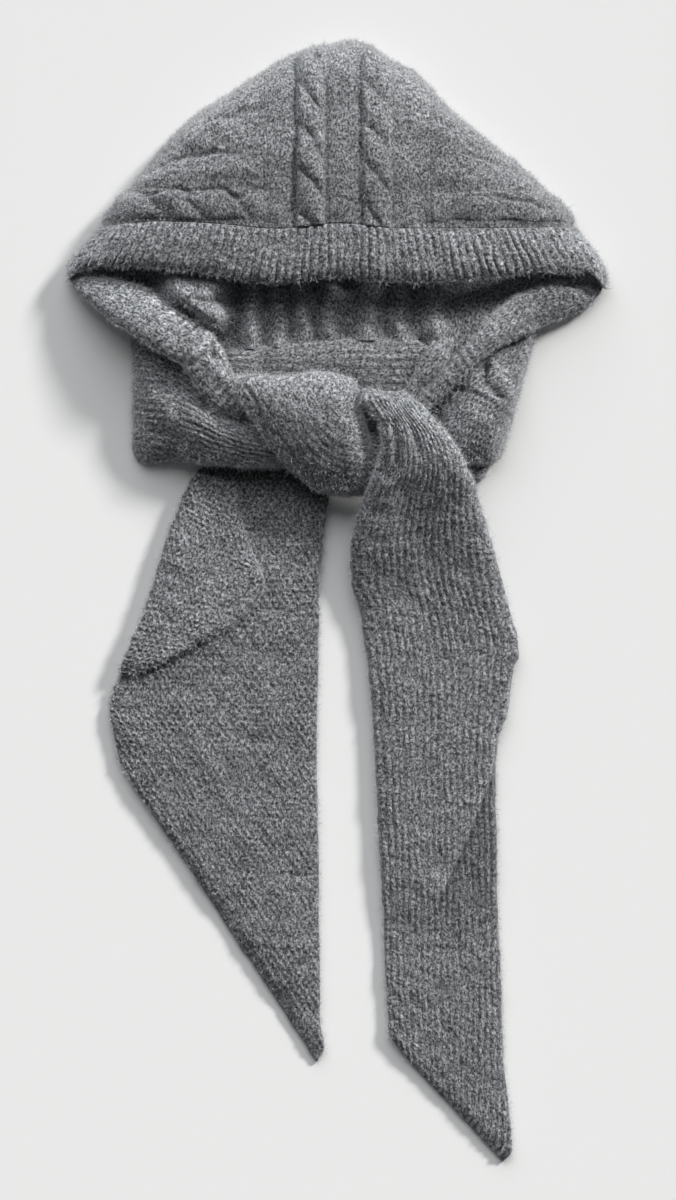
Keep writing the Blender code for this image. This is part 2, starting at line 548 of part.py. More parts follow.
def build():
    for old in list(bpy.data.objects):
        bpy.data.objects.remove(old, do_unlink=True)
    garment = bpy.data.collections.new("hooded_scarf")
    bpy.context.scene.collection.children.link(garment)

    corner = 6.0
    hood_panel("hood_left_panel", BAND_SEAM[0].x + corner, CENTRE_LEFT - GAP,
               21, 17, side_relief, garment)
    hood_panel("hood_centre_panel", CENTRE_LEFT, CENTRE_RIGHT,
               27, 23, cable_relief, garment)
    hood_panel("hood_right_panel", CENTRE_RIGHT + GAP, BAND_SEAM[-1].x - corner,
               17, 17, side_relief, garment)
    back_panel(garment)
    face_band_top(garment)
    cheek_rows = np.linspace(0, 1, 2 * CHEEK_RIBS + 1)
    for name, sections in (("face_band_left", CHEEK_LEFT), ("face_band_right", CHEEK_RIGHT)):
        lofted(name, sections, cheek_rows, rounded_spacing(7), 2.6,
               ribs_across(CHEEK_RIBS, RIB_HEIGHT), (4, 2), garment)
    lofted("neck_band_inner", COLLAR, np.linspace(0, 1, 25), np.linspace(0, 1, 2 * COLLAR_RIBS + 1),
           3.2, ribs_along(COLLAR_RIBS, SOFT_RIB_HEIGHT), (4, 4), garment)
    lofted("neck_band_fold", COLLAR_FOLD, np.linspace(0, 1, 11), rounded_spacing(7), 2.6,
           no_relief, (2, 2), garment)
    for name, sections in (("neck_wrap_left", WRAP_LEFT), ("neck_wrap_right", WRAP_RIGHT)):
        lofted(name, sections, np.linspace(0, 1, 21), rounded_spacing(15), 2.0,
               no_relief, (2, 2), garment, under_fullness=1.6)
    lofted("neck_wrap_right_under", WRAP_RIGHT_UNDER, np.linspace(0, 1, 9), rounded_spacing(7),
           3.0, no_relief, (2, 2), garment)
    lofted("scarf_knot", KNOT, np.linspace(0, 1, 25), rounded_spacing(17), 2.3,
           no_relief, (2, 2), garment)
    lofted("scarf_left_tail", TAIL_LEFT, np.linspace(0, 1, 29), rounded_spacing(17), 9.0,
           no_relief, (4, 4), garment)
    lofted("scarf_left_flap", FLAP_LEFT, np.linspace(0, 1, 17), rounded_spacing(11), 5.0,
           no_relief, (4, 2), garment)
    closer_at_knot = np.linspace(0, 1, 33) ** 1.5
    lofted("scarf_right_tail", TAIL_RIGHT, closer_at_knot, np.linspace(0, 1, 2 * TAIL_RIBS + 1),
           6.0, turned_ribs, (4, 2), garment)


build()
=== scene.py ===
"""Looks of the hooded scarf: felted wool knit with cables, ribs and stitches.

Frame: metres, +Z up, the garment lies on z = 0 with the hood's point towards +Y.
Every length below is in millimetres and becomes metres where its mesh is made. Only
the cuts, the floor, the bump and the camera's distances are in metres.
"""

from collections import namedtuple
from functools import partial
from math import cos, pi, radians, sin
from typing import NamedTuple

import bpy
import numpy as np
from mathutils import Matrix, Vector


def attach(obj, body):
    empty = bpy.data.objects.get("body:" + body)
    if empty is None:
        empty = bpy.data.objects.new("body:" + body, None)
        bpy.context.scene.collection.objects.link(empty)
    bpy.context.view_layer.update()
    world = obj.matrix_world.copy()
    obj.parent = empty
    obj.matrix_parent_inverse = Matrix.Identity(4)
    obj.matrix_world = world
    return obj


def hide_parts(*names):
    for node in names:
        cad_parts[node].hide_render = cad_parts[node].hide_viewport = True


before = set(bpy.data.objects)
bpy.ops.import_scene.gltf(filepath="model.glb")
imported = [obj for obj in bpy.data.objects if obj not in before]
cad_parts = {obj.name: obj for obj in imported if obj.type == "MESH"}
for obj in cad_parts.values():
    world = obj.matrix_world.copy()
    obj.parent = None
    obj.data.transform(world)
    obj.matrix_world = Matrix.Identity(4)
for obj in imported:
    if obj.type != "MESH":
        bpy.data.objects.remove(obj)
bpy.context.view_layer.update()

MM = 0.001
GRID = 1.15            # spacing of the points that carry the stitches
BACK_GRID = 1.6        # the same across the back layer
BAND_GRID = 0.9        # the same along the face band
LOW_STEP = 8           # the plain underside has one point for this many above
KNIT_SCALE = 10        # knit coordinates count tenths of a metre
RIM = 1.4              # height of a cloth edge where it thins out
THINNEST = 0.4         # least thickness of cloth
LATTICE = 60           # unevenness repeats after this many of its features
LATTICE_SHIFT = 500.0  # where the frame's origin lies on that lattice

# Painted light and shade: every point of the cloth has a painted_shading value that darkens its
# wool
# (below 0 it lightens it); it stands for shade in hollows and beneath layers, and for light on
# slopes
PAINTED_SHADING_STRENGTH = 0.75     # share of its light that wool loses where that value is 1
STITCH_SHADE = 0.80     # painted shade for each millimetre a point lies below the stitches around it
FOLD_SHADE = 0.26       # the same below the folds around it
RIDGE_SHADE = 0.10      # the same below the ridges of the back layer
PAINTED_SLOPE_LIGHT = 0.45              # painted light: cloth that faces +Y, towards the lamps, looks lighter, and cloth that faces -Y darker
# the same painted light and shade on the hood and on the knot
HOOD_SLOPE_LIGHT = 0.95
KNOT_SLOPE_LIGHT = 0.90
OUTLINE_PAINTED_HIGHLIGHT = 0.45     # painted highlight: how much lighter the fuzzy outline of the hood is
SEAM_SHADE = 0.70       # painted shade: how much darker the face band is along its seam
TURNED_IN_SHADE = 0.45  # painted shade: how much darker the side turned into the opening is
LOWER_SHADE = 0.42      # how much darker the layer beneath the turned edge is
SHOULDER_PAINTED_LIGHT = 0.50    # painted light: how much lighter the shoulder of the right tail is
SHOULDER_FROM, SHOULDER_RUN = 20.0, 60.0  # the y where that starts, and its run
COVERED_FROM, COVERED_RUN = 62.0, 28.0  # the same for the painted shadow beneath the neck wrap

HOOD_HEIGHT = 51.0    # height of the hood's front layer above the table
HOOD_LENGTH = 135.0   # length of that layer from its seam to its outline
HOOD_ROUNDNESS = 2.3  # how full that layer is from side to side
CROWN_FALL = 2.4      # how full it is from its seam to its outline
PANEL_INSET = 4.0     # the side panels stop short of the seam's ends by this much
WALL = 3.6            # thickness of the hood's front layer

BAND_LENGTH = 374.0
BAND_DEPTH = 36.0
BAND_GIRTH = 48.0          # the depth measured over its curve and its rolled edge
BAND_GAP = 0.3             # how far below the seam the face band starts
BAND_STAND = 1.4           # how far it stands proud of the hood panels
BAND_DROP = 4.0            # how far its free edge hangs below the seam
BAND_ROLL = 3.5            # how far that edge rolls under
BAND_END = 5.5             # height of the band where it turns round the corner
BAND_WALL = 4.6            # thickness of the band
BAND_CLEAR = 1.0           # least height of its underside
CORNER = 0.028             # share of the band that turns round each corner of the face opening
CORNER_FALL = (8.0, 12.0)  # how far it reaches down there, at the left and the right
CORNER_BULGE = 6.0         # how far it bulges outwards there

BACK_LENGTH = 150.0
BACK_WIDTH = 300.0
BACK_TOP = 366.0      # y of its upper edge
BACK_INSET = 10.4     # how far the back layer stays inside the hood's outline
BACK_HEIGHT = 4.5
BACK_TUCK = 5.0       # how far the back layer runs on beneath the neck band
BACK_LIFT = 12.0      # rise of the back layer towards the neck
BACK_LIFT_FROM, BACK_LIFT_RUN = 236.0, 44.0  # the y where that starts, and its run
TURNED_IN_TOP = 31.0  # the turned-in side is flattened at this height

TURN_HEIGHT = 3.0  # step down from the turned edge of the right tail
TURN_SOFTNESS = 2.5
TURN_FADE = 40.0   # length over which the turned edge sinks into the layer beneath

STITCH = 4.0         # height of a knit row
RIB = 5.0            # width of a rib of the scarf
BAND_RIB = 6.0       # width of a rib of the face band
CABLE_WIDTH = 20.0
CABLE_LENGTH = 30.0
CABLE_FULLNESS = 2.4
LOBE_FULLNESS = 1.8
VALLEY = 0.10        # height between two lobes of a cable, as a share of theirs
CENTRE_LEFT = -51.0  # where the hood's upright cables give way to level ones
CENTRE_RIGHT = 65.0
CHANGE_WIDTH = 9.0   # width over which they do
WANDER = 1.6         # how far ridges and creases stray from their straight runs
WANDER_SIZE = 14.0
SWELL = 0.8          # height of the broad bumps in the scarf and the cheeks
END_WAVE = 1.6       # how much more a stretch strays at its ends than at its sides

DARK_FIBRE, LIGHT_FIBRE = 0.035, 0.450
# Each piece's copy of the one grey wool; partly painted light and shade: hood_right_wool darker,
# cheek_left_wool and inside_wool lighter
LIGHTNESS = {
    "hood_wool": 0.80, "hood_right_wool": 0.68, "collar_wool": 0.80,
    "cheek_left_wool": 1.30, "cheek_right_wool": 1.02, "inside_wool": 1.20,
    "band_wool": 1.16, "scarf_wool": 1.0, "tail_wool": 0.92, "flap_wool": 1.02,
}
FIBRE_LENGTH = 2.4     # mean length of a loose fibre beyond the shortest
FIBRE_SHORTEST = 0.6
FIBRE_HALF = 0.08      # half the width of a loose fibre
FIBRE_LOW = 0.2        # least height of a loose fibre
FIBRES_ON_TOP = 0.025  # how likely a fibre is on level cloth, against 2 on a steep edge

PHOTO_PX = 0.70    # millimetres of garment to one pixel of the photograph
PHOTO_WIDE, PHOTO_HIGH = 676, 1200
ORIGIN_PX_X, ORIGIN_PX_Y = 337, 602  # where the frame's origin is in the photograph
CAMERA_HEIGHT = 5.0
FLOOR_REACH = 3.0  # how far the floor reaches to each side
FLOOR_Z = -0.0002

EdgePoint = namedtuple("EdgePoint", "x y")
Section = namedtuple("Section", "left_x left_y left_z right_x right_y right_z crown under")
Ridge = namedtuple("Ridge", "x0 y0 x1 y1 rise width")
Rope = namedtuple("Rope", "centre start lean height")
Made = namedtuple("Made", "piece points normals")
Cut = namedtuple("Cut", "width length filled")
Panel = namedtuple("Panel", "name start_x end_x node wool cut")


def table(kind, rows):
    """Rows of bare numbers as records with named fields."""
    return [kind(*row) for row in rows]


HOOD_OUTLINE = table(EdgePoint, [
    (-166, 262), (-144, 288), (-119, 319),
    (-97, 341), (-63, 362.5), (-45, 374.5),
    (-21, 386), (2, 391), (10, 392),
    (20, 389.5), (34, 381), (52, 371.5),
    (76, 347), (105, 321.5), (135, 297),
    (168, 262),
])
BAND_SEAM = table(EdgePoint, [
    (-166, 262), (-124, 264.5), (-84, 262.5),
    (-40, 258.8), (2, 262.5), (42, 259),
    (111, 259.7), (168, 261.5),
])
BAND_EDGE = table(EdgePoint, [
    (-187, 233), (-151, 234.5), (-114, 231),
    (-69, 225), (-44, 222.5), (2, 225.5),
    (53, 222), (85, 223.5), (135, 229.5),
    (187, 230.5),
])
UPRIGHT_CABLES = table(Rope, [
    (-18, 320, 0.42, 5),
    (28, 323, 0.42, 4.4),
])
LEFT_CABLES = table(Rope, [
    (276, -98, 0.30, 3.2),
    (325, -84, 0.30, 1.4),
])
RIGHT_CABLES = table(Rope, [
    (275, 112, -0.30, 3),
    (322, 100, -0.30, 1.2),
])
CENTRE_FOLDS = table(Ridge, [
    (-29, 376, -28.5, 262, -1.6, 2.8),
    (-7.8, 384, -7.4, 262, -1.4, 2.4),
    (16, 384, 15.6, 262, -1.1, 2.2),
    (40, 372, 39.5, 262, -0.9, 2),
    (4.5, 384, 4.5, 262, 0.8, 7),
    (-40, 372, -42, 262, 0.8, 8),
    (56, 320, 60, 270, -3.2, 20),
    (52, 362, 53, 262, 0.8, 8),
])
SIDE_FOLDS = table(Ridge, [
    (66, 305, 78, 278, -3.2, 20),
    (-60, 352, -118, 309, 1.8, 5),
    (-62, 300, -128, 296, 1.8, 7),
    (70, 344, 108, 318, 1.6, 5),
    (72, 298, 130, 292, 1.8, 7),
    (-51, 343, -68, 341, -1.7, 1.9), (-68, 341, -74, 337, -1.9, 1.9),
    (-74, 337, -92, 332.5, -1.9, 1.9), (-92, 332.5, -99, 327, -1.9, 1.9),
    (-99, 327, -120, 307, -1.6, 1.9),
    (-68, 312, -86, 312, -1.5, 1.9), (-86, 312, -103, 311, -1.9, 1.9),
    (-103, 311, -113, 308, -1.9, 1.9), (-113, 308, -132, 299, -1.5, 1.7),
    (-96, 328, -110, 317.5, -1.2, 1.7), (-110, 317.5, -120, 312, -1, 1.6),
    (-51, 286.5, -61, 284.5, -1.8, 1.9), (-61, 284.5, -69, 280.5, -1.9, 1.9),
    (-69, 280.5, -79, 286.3, -2, 1.9), (-79, 286.3, -91, 285.5, -2, 1.7),
    (-91, 285.5, -98, 282, -2, 1.7), (-98, 282, -110, 287, -2, 1.7),
    (-110, 287, -121, 285, -1.9, 1.7), (-121, 285, -129, 282.5, -1.9, 1.7),
    (-129, 282.5, -143, 284, -1.4, 1.7),
    (-51, 360, -68, 353, -1.3, 1.4), (-68, 353, -78, 349, -1.3, 1.4),
    (-78, 349, -92, 341, -1.3, 1.4), (-55, 364.5, -84, 349.5, -0.8, 1.2),
    (65, 338, 76, 332, -1.5, 1.9), (76, 332, 86, 328, -1.6, 1.7),
    (86, 328, 107, 318, -1.3, 1.7),
    (70, 317, 86, 311.5, -1.2, 1.9), (86, 311.5, 100, 308, -1.7, 1.7),
    (100, 308, 112, 306, -1.7, 1.7), (112, 306, 127, 299, -1.4, 1.7),
    (65, 288.5, 79, 283.5, -1.5, 2), (79, 283.5, 100, 282.8, -1.9, 1.7),
    (100, 282.8, 111, 281, -2, 1.7), (111, 281, 132, 279.3, -2, 1.7),
    (132, 279.3, 139, 276, -2.1, 1.9), (139, 276, 146, 273.5, -1.7, 1.9),
    (72, 349, 92, 335, -0.9, 1.3),
])
FOLDS = {
    "cheek_right_wool": table(Ridge, [
        (162, 225, 184, 222, -4, 6), (140, 197, 118, 184, -1.5, 3),
    ]),
    "cheek_left_wool": table(Ridge, [
        (-99, 171, -91, 178, 3.2, 4.2), (-86, 179, -84, 169, -3, 2),
        (-90, 168, -80, 158, 2.4, 4),
    ]),
    "neck_left_wool": table(Ridge, [
        (-136, 150, -100, 118, 1.6, 7), (-132, 172, -92, 135, -1.6, 4),
        (-128, 120, -90, 106, -1.1, 4), (-100, 128, -62, 112, 1.6, 6),
        (-84, 130, -66, 104, -1, 3),
    ]),
    "neck_right_wool": table(Ridge, [
        (104, 170, 103.5, 153, -2.4, 2), (103.5, 153, 114, 143, -2.4, 2),
        (82.5, 148.5, 94.5, 147.7, -1.6, 1.8), (94.5, 147.7, 109, 138, -1.8, 1.8),
        (109, 138, 122, 130, -1.6, 1.8), (110, 166, 120, 144, 2.4, 4),
        (97, 150, 114, 136, 1.6, 3.5), (128, 186, 120, 170, -5, 6),
        (92, 132, 108, 118, 1.3, 6),
    ]),
    "knot_wool": table(Ridge, [
        (-70, 150, -52, 119, 1.1, 2.2), (-52, 119, -14, 79, 0.9, 2.2),
        (-66, 154, -48, 121, -1.1, 1.2), (-48, 121, -16, 85, -0.8, 1.3),
        (-56, 158, -40, 156, -1.6, 4), (-22, 157, -8, 152, 1.6, 6),
        (-6, 150, 12, 100, 1.4, 6), (-30, 140, -6, 104, -1, 6),
    ]),
    "right_tail_wool": table(Ridge, [
        (22, 141, 34, 137, 2, 2.6), (34, 137, 37, 126, 1.4, 2.6),
        (38, 124, 44, 98, -3.2, 2.4), (46, 133, 58, 104, -1.6, 2.4),
        (36, 112, 35, 86, -1.2, 1.6), (34, 84, 40, 40, 1, 6),
        (60, 60, 70, -20, -0.9, 8), (48, -60, 52, -180, 0.8, 9),
        (80, -260, 96, -330, 0.8, 9),
    ]),
    "left_tail_wool": table(Ridge, [
        (-34, -190, -18, -190.5, -1.3, 1.3), (-38, -244.5, -22, -245.5, -1.2, 1.3),
        (-60, 20, -40, -120, 0.9, 9), (-110, -70, -60, -180, 0.9, 9),
    ]),
    "left_flap_wool": table(Ridge, [
        (-100, 70, -118, 0, 1.2, 7), (-80, 40, -84, -6, -0.9, 6),
    ]),
}
BACK_RIDGES = table(Ridge, [
    (-58, 250, -60, 176, 8, 6.5),
    (-41, 252, -40, 176, 7, 6.5),
    (-22, 248, -25, 176, 7.5, 6.5),
    (-3, 250, -5, 176, 8, 7.5),
    (25, 250, 22, 176, 9, 8.5),
    (45, 248, 44, 176, 7, 7),
    (68, 246, 70, 176, 8, 8),
])
TURNED_IN_SIDE = table(Ridge, [
    (-110, 217, -90, 217, 60, 12),
    (-100, 208, -88, 200, 50, 10),
    (-118, 214, -101, 199, -15, 4.5),
])
BACK_LEFT = table(EdgePoint, [
    (-160, 262), (-177, 246), (-183, 236),
    (-181, 230.5), (-166, 221.5), (-143, 214),
    (-126, 204), (-108, 193), (-96, 186),
])
BACK_RIGHT = table(EdgePoint, [
    (162, 262), (177, 246), (183, 235),
    (181, 228), (162, 216), (138, 208),
    (116, 198), (100, 186),
])
BACK_LOW = table(EdgePoint, [
    (-98, 175.5), (-83, 176.5), (-72, 180.5),
    (-39, 182.5), (-11, 186), (15, 187.5),
    (42, 186), (68, 183), (80, 176.5),
    (102, 179),
])
CHEEK_LEFT = table(Section, [
    (-186.8, 229.8, 4, -181.5, 231, 4, 1.6, 3.8),
    (-185, 221, 9, -168, 229, 7.5, 5.5, 7.2),
    (-176, 210.5, 14, -156, 226.5, 12, 10, 12),
    (-161, 197.5, 20.5, -134, 219.5, 17, 12, 18),
    (-145, 188, 26, -118, 208.5, 22, 12, 24),
    (-131, 178, 30, -103, 198, 26, 11.5, 28),
    (-114, 168, 31, -88.5, 189, 28.5, 10.5, 30),
    (-101, 154.5, 30.5, -79.5, 176, 30, 9, 30.5),
    (-93, 142, 29.5, -74, 162.5, 30, 7, 30),
    (-82, 132.5, 28.5, -69, 151, 29.5, 5, 29),
    (-67.5, 126.5, 27, -58, 140, 28.5, 2.5, 28),
])
CHEEK_RIGHT = table(Section, [
    (186.6, 222, 3, 180.5, 229.2, 4.5, 2.5, 3.4),
    (179.5, 208.5, 3, 167, 226.5, 8.5, 5.5, 5.6),
    (166, 200.5, 3.5, 152, 223.5, 12.5, 7.5, 7.5),
    (147, 194, 7, 131, 217, 17, 9, 12),
    (127, 185, 18, 112, 204.5, 22.5, 10, 21),
    (110, 176.5, 27, 99.5, 190, 28, 9.5, 28),
    (96, 165.5, 30, 88.5, 176.5, 30, 8, 30.5),
    (82.5, 153.5, 30.5, 76.5, 162, 30.5, 6, 31),
    (67, 139, 30.5, 60, 144.5, 30.5, 3, 31),
    (56, 127.5, 28.5, 50.5, 132, 28.5, 1.5, 28.5),
])
COLLAR = table(Section, [
    (-80, 144, RIM, -82, 173.5, RIM, 18, 0),
    (-70, 139, RIM, -72, 178.5, RIM, 23, 0),
    (-40, 132, RIM, -39, 181, RIM, 26, 0),
    (-11, 130, RIM, -11, 184.5, RIM, 27, 0),
    (14, 130, RIM, 15, 186, RIM, 27, 0),
    (40, 131, RIM, 42, 184.5, RIM, 26, 0),
    (58, 138, RIM, 68, 181, RIM, 24, 0),
    (66, 148, RIM, 79, 172, RIM, 18, 0),
])
COLLAR_FOLD = table(Section, [
    (67, 182, 27, 79, 173, 27, 4, 26.5),
    (63, 176.5, 28.5, 77, 167.5, 28.5, 7, 28.5),
    (56, 164, 29, 70, 156.5, 29, 7.5, 29),
    (48.5, 151.5, 29, 59.5, 146.5, 29, 5, 29),
    (44, 144, 28.8, 52.5, 140.5, 28.8, 3, 28.8),
    (41, 138.5, 28, 47, 136, 28, 1.5, 28),
])
WRAP_LEFT = table(Section, [
    (-143.5, 184, RIM, -142, 105, RIM, 1, 0),
    (-140.5, 191, RIM, -139.5, 99, RIM, 10, 0),
    (-129, 190, RIM, -127, 96.5, RIM, 22, 0),
    (-117, 182, RIM, -113, 97.5, 2, 25.5, 0),
    (-106, 172, RIM, -99, 96.5, 9, 25, 0),
    (-96, 158, RIM, -84, 95, 9.5, 25, 0),
    (-84.5, 146, RIM, -66, 93.5, 9.5, 25, 0),
    (-66, 133.5, RIM, -48, 93.5, 9.5, 23, 0),
    (-48, 128, RIM, -30, 94.5, 9.5, 18, 0),
    (-20, 127.5, RIM, -8, 96.5, 9.5, 12, 0),
    (20, 127.5, RIM, 16, 94, 8, 9, 0),
    (50, 126, RIM, 44, 94, RIM, 6, 0),
])
WRAP_RIGHT = table(Section, [
    (143, 196, RIM, 114, 100.5, RIM, 1, 0),
    (137, 194, RIM, 109, 97.5, 8, 15, 0),
    (125, 187, RIM, 101, 96.5, 10, 22, 0),
    (107, 181, RIM, 94, 96, 10, 25, 0),
    (91, 169, RIM, 87, 95, 10, 25, 0),
    (76, 153, RIM, 79, 95, 9, 22, 0),
    (66.5, 144, RIM, 70, 98, 5, 15, 0),
    (60, 134.5, RIM, 60, 99, 3, 8, 0),
])
WRAP_RIGHT_UNDER = table(Section, [
    (70, 92, RIM, 90, 80, RIM, 2, 0),
    (77, 93.5, RIM, 98, 83, RIM, 4.4, 0),
    (84, 94.5, RIM, 104, 88, RIM, 4.4, 0),
    (92, 95.5, RIM, 107, 93.5, RIM, 2, 0),
])
KNOT = table(Section, [
    (-72.5, 151.5, 36.5, -69, 158, 36.5, 2.5, 36),
    (-70, 143.5, 36.5, -56, 158.5, 36, 8, 36),
    (-61.5, 129.5, 36, -36, 157.5, 35.5, 12, 35.5),
    (-50.5, 113, 34, -14, 160, 35, 15, 34),
    (-38, 98, 31, 3, 158.5, 35.5, 17, 33),
    (-26, 86, 26.5, 13.5, 152.5, 36, 18, 31),
    (-10, 75.5, 20.5, 17, 135, 35, 19, 27),
    (4, 73.5, 16.5, 24, 112.5, 28, 18, 22),
    (15, 74, 13.5, 28.5, 92.5, 16, 9, 15),
    (21, 75, 11.5, 25, 80, 11.5, 2.5, 11),
])
TAIL_LEFT = table(Section, [
    (-93, 96.5, RIM, -8, 95, RIM, 1.8, 0),
    (-97.5, 91, RIM, -5, 82, RIM, 2.8, 0),
    (-105, 80.5, RIM, -6.5, 67, RIM, 3.8, 0),
    (-112, 62, RIM, -10, 46, RIM, 4.4, 0),
    (-119, 41, RIM, -12, 19, RIM, 4.4, 0),
    (-129, 11, RIM, -12.5, -21, RIM, 4.4, 0),
    (-138, -16, RIM, -14, -68, RIM, 4.4, 0),
    (-148, -42.5, RIM, -14.5, -111, RIM, 4.6, 0),
    (-156.5, -61, RIM, -13, -165, RIM, 4.8, 0),
    (-159, -74, RIM, -12.5, -215, RIM, 4.8, 0),
    (-157, -89, RIM, -12, -262, RIM, 4.8, 0),
    (-152, -110, RIM, -11.5, -296, RIM, 4.6, 0),
    (-147.5, -119, RIM, -9, -312, RIM, 4, 0),
    (-146, -122.5, RIM, -14, -322, RIM, 0.8, 0),
])
FLAP_LEFT = table(Section, [
    (-98, 91, 7, -71, 84, 7, 0.8, 6.2),
    (-105.7, 80, 7.6, -67, 60, 7.7, 2.8, 6.9),
    (-112.7, 62, 7.7, -59, 35, 7.8, 4, 7),
    (-119.7, 41, 7.7, -50, 12, 7.8, 4.6, 7),
    (-129.7, 10, 7.7, -70, -13.5, 8.2, 5, 7.2),
    (-139.2, -17, 7.7, -93, -26.5, 9, 5.2, 7.6),
    (-147.2, -37, 7.8, -119, -40, 9.4, 4.8, 7.8),
    (-152, -48, 7.8, -144, -51, 8.2, 1.6, 7.4),
])
TAIL_RIGHT = table(Section, [
    (17.5, 147, 38, 43, 145.5, 38, 2, 37),
    (21, 139, 37.5, 57.5, 133.5, 37.5, 10, 36.5),
    (28, 131, 36, 67, 123, 34.5, 14, 35),
    (33.5, 119, 35, 76, 112.5, 31.5, 15.5, 33),
    (33, 106, 32, 83, 102, 29.5, 16, 30.5),
    (29.5, 92, 25.5, 89.5, 90, 25, 16.5, 25),
    (22, 75, 15, 95, 77, 16, 18, 15.5),
    (15.5, 58, 7, 100, 61, 8, 18, 7),
    (11.5, 38, 2.5, 105.5, 43, 3, 15.5, 1.5),
    (12, 17, RIM, 112, 18, RIM, 10.5, 0),
    (17, -2, RIM, 118, -8, RIM, 7.6, 0),
    (20.5, -22, RIM, 124, -27, RIM, 6.4, 0),
    (21.8, -32, RIM, 125, -34, RIM, 6.2, 0),
    (23.5, -46, RIM, 122.5, -44, RIM, 6, 0),
    (27, -75, RIM, 117, -74, RIM, 5.6, 0),
    (28.5, -111, RIM, 111, -112, RIM, 5.4, 0),
    (31, -150, RIM, 111.5, -158, RIM, 5.2, 0),
    (32.5, -190, RIM, 112.5, -210, RIM, 5, 0),
    (33, -230, RIM, 114, -262, RIM, 5, 0),
    (34.5, -270, RIM, 116.5, -318, RIM, 5, 0),
    (36.5, -299, RIM, 121.5, -372, RIM, 4.8, 0),
    (38, -305, RIM, 122, -385, RIM, 4, 0),
    (40.5, -310, RIM, 116, -392, RIM, 0.8, 0),
])
TURN_EDGE = table(EdgePoint, [
    (135, -20), (124, -60), (111, -96),
    (108, -118), (95, -154), (80, -189),
    (61, -230),
])


# Curves and soft shapes

def curve_through(knots, values, at):
    """A smooth curve through the table's values that never swings past them."""
    knots = np.asarray(knots, float)
    values = np.asarray(values, float)
    slopes = np.diff(values) / np.diff(knots)
    tangents = np.zeros_like(values)
    tangents[0], tangents[-1] = slopes[0], slopes[-1]
    before, after = slopes[:-1], slopes[1:]
    same_way = before * after > 0
    mean = 2 * before * after / np.where(same_way, before + after, 1.0)
    tangents[1:-1] = np.where(same_way, mean, 0.0)
    at = np.clip(at, knots[0], knots[-1])
    span = np.clip(np.searchsorted(knots, at, side="right") - 1, 0, len(knots) - 2)
    width = knots[span + 1] - knots[span]
    t = (at - knots[span]) / width
    start = values[span] * (1 + 2 * t) + tangents[span] * width * t
    end = values[span + 1] * (3 - 2 * t) - tangents[span + 1] * width * (1 - t)
    return start * (1 - t) ** 2 + end * t ** 2


def edge_y(points, x):
    """The y of an edge at each x, for edges listed from left to right."""
    return curve_through([p.x for p in points], [p.y for p in points], x)


def edge_x(points, y):
    """The x of a side edge at each y, for edges listed from the top down."""
    rising = points[::-1]
    return curve_through([p.y for p in rising], [p.x for p in rising], y)


def dome(across, fullness):
    """1 in the middle of a section and 0 at its two edges; fuller means flatter."""
    side = np.clip(np.abs(2 * across - 1), 0, 1)
    return (1 - side ** fullness) ** (1 / fullness)


def ease(t):
    t = np.clip(t, 0, 1)
    return t * t * (3 - 2 * t)


def uneven(x, y, size, seed):
    """Smooth unevenness between -1 and 1, with features about that size."""
    lattice = np.random.RandomState(seed).uniform(-1, 1, (LATTICE + 1, LATTICE + 1))
    gx, gy = x / size + LATTICE_SHIFT, y / size + LATTICE_SHIFT
    cell_x, cell_y = np.floor(gx).astype(int), np.floor(gy).astype(int)
    fx, fy = ease(gx - cell_x), ease(gy - cell_y)
    cell_x, cell_y = cell_x % LATTICE, cell_y % LATTICE
    low = lattice[cell_x, cell_y] * (1 - fx) + lattice[cell_x + 1, cell_y] * fx
    high = lattice[cell_x, cell_y + 1] * (1 - fx) + lattice[cell_x + 1, cell_y + 1] * fx
    return low * (1 - fy) + high * fy


def ridge_relief(ridges, x, y):
    """Height of soft ridges and depth of soft creases, each wandering a little."""
    wander_x = x + WANDER * uneven(x, y, WANDER_SIZE, 5)
    wander_y = y + WANDER * uneven(x, y, WANDER_SIZE, 6)
    high, deep = np.zeros_like(x), np.zeros_like(x)
    for ridge in ridges:
        run_x, run_y = ridge.x1 - ridge.x0, ridge.y1 - ridge.y0
        along = ((wander_x - ridge.x0) * run_x + (wander_y - ridge.y0) * run_y)
        near = np.clip(along / (run_x ** 2 + run_y ** 2), 0, 1)
        away = np.hypot(wander_x - ridge.x0 - near * run_x,
                        wander_y - ridge.y0 - near * run_y)
        form = ridge.rise * np.exp(-(away / ridge.width) ** 2)
        if ridge.rise > 0:
            high = np.maximum(high, form)
        else:
            deep = np.minimum(deep, form)
    return high + deep


def rope_relief(ropes, along, across):
    """Cables of leaning lobes, one above the next, with narrow valleys between them."""
    height = np.zeros_like(along)
    drift = 1.8 * uneven(along, across, 17.0, 8)
    for rope in ropes:
        side = (across - rope.centre + 0.6 * drift) / (CABLE_WIDTH / 2)
        turn = (along - rope.start + drift) / CABLE_LENGTH + rope.lean * side
        lobe = dome(turn - np.floor(turn), LOBE_FULLNESS)
        inside = dome(np.clip((side + 1) / 2, 0, 1), CABLE_FULLNESS)
        height = height + rope.height * inside * (VALLEY + (1 - VALLEY) * lobe)
    return height


def hood_folds(x, y):
    """Upright cables in the middle of the hood and level ones at its sides."""
    middle = (ease((x - CENTRE_LEFT) / CHANGE_WIDTH + 0.5)
              * ease((CENTRE_RIGHT - x) / CHANGE_WIDTH + 0.5))
    upright = rope_relief(UPRIGHT_CABLES, y, x) + ridge_relief(CENTRE_FOLDS, x, y)
    sides = np.where(x < 0, rope_relief(LEFT_CABLES, x, y), rope_relief(RIGHT_CABLES, x, y))
    sides = sides + ridge_relief(SIDE_FOLDS, x, y)
    return middle * upright + (1 - middle) * sides


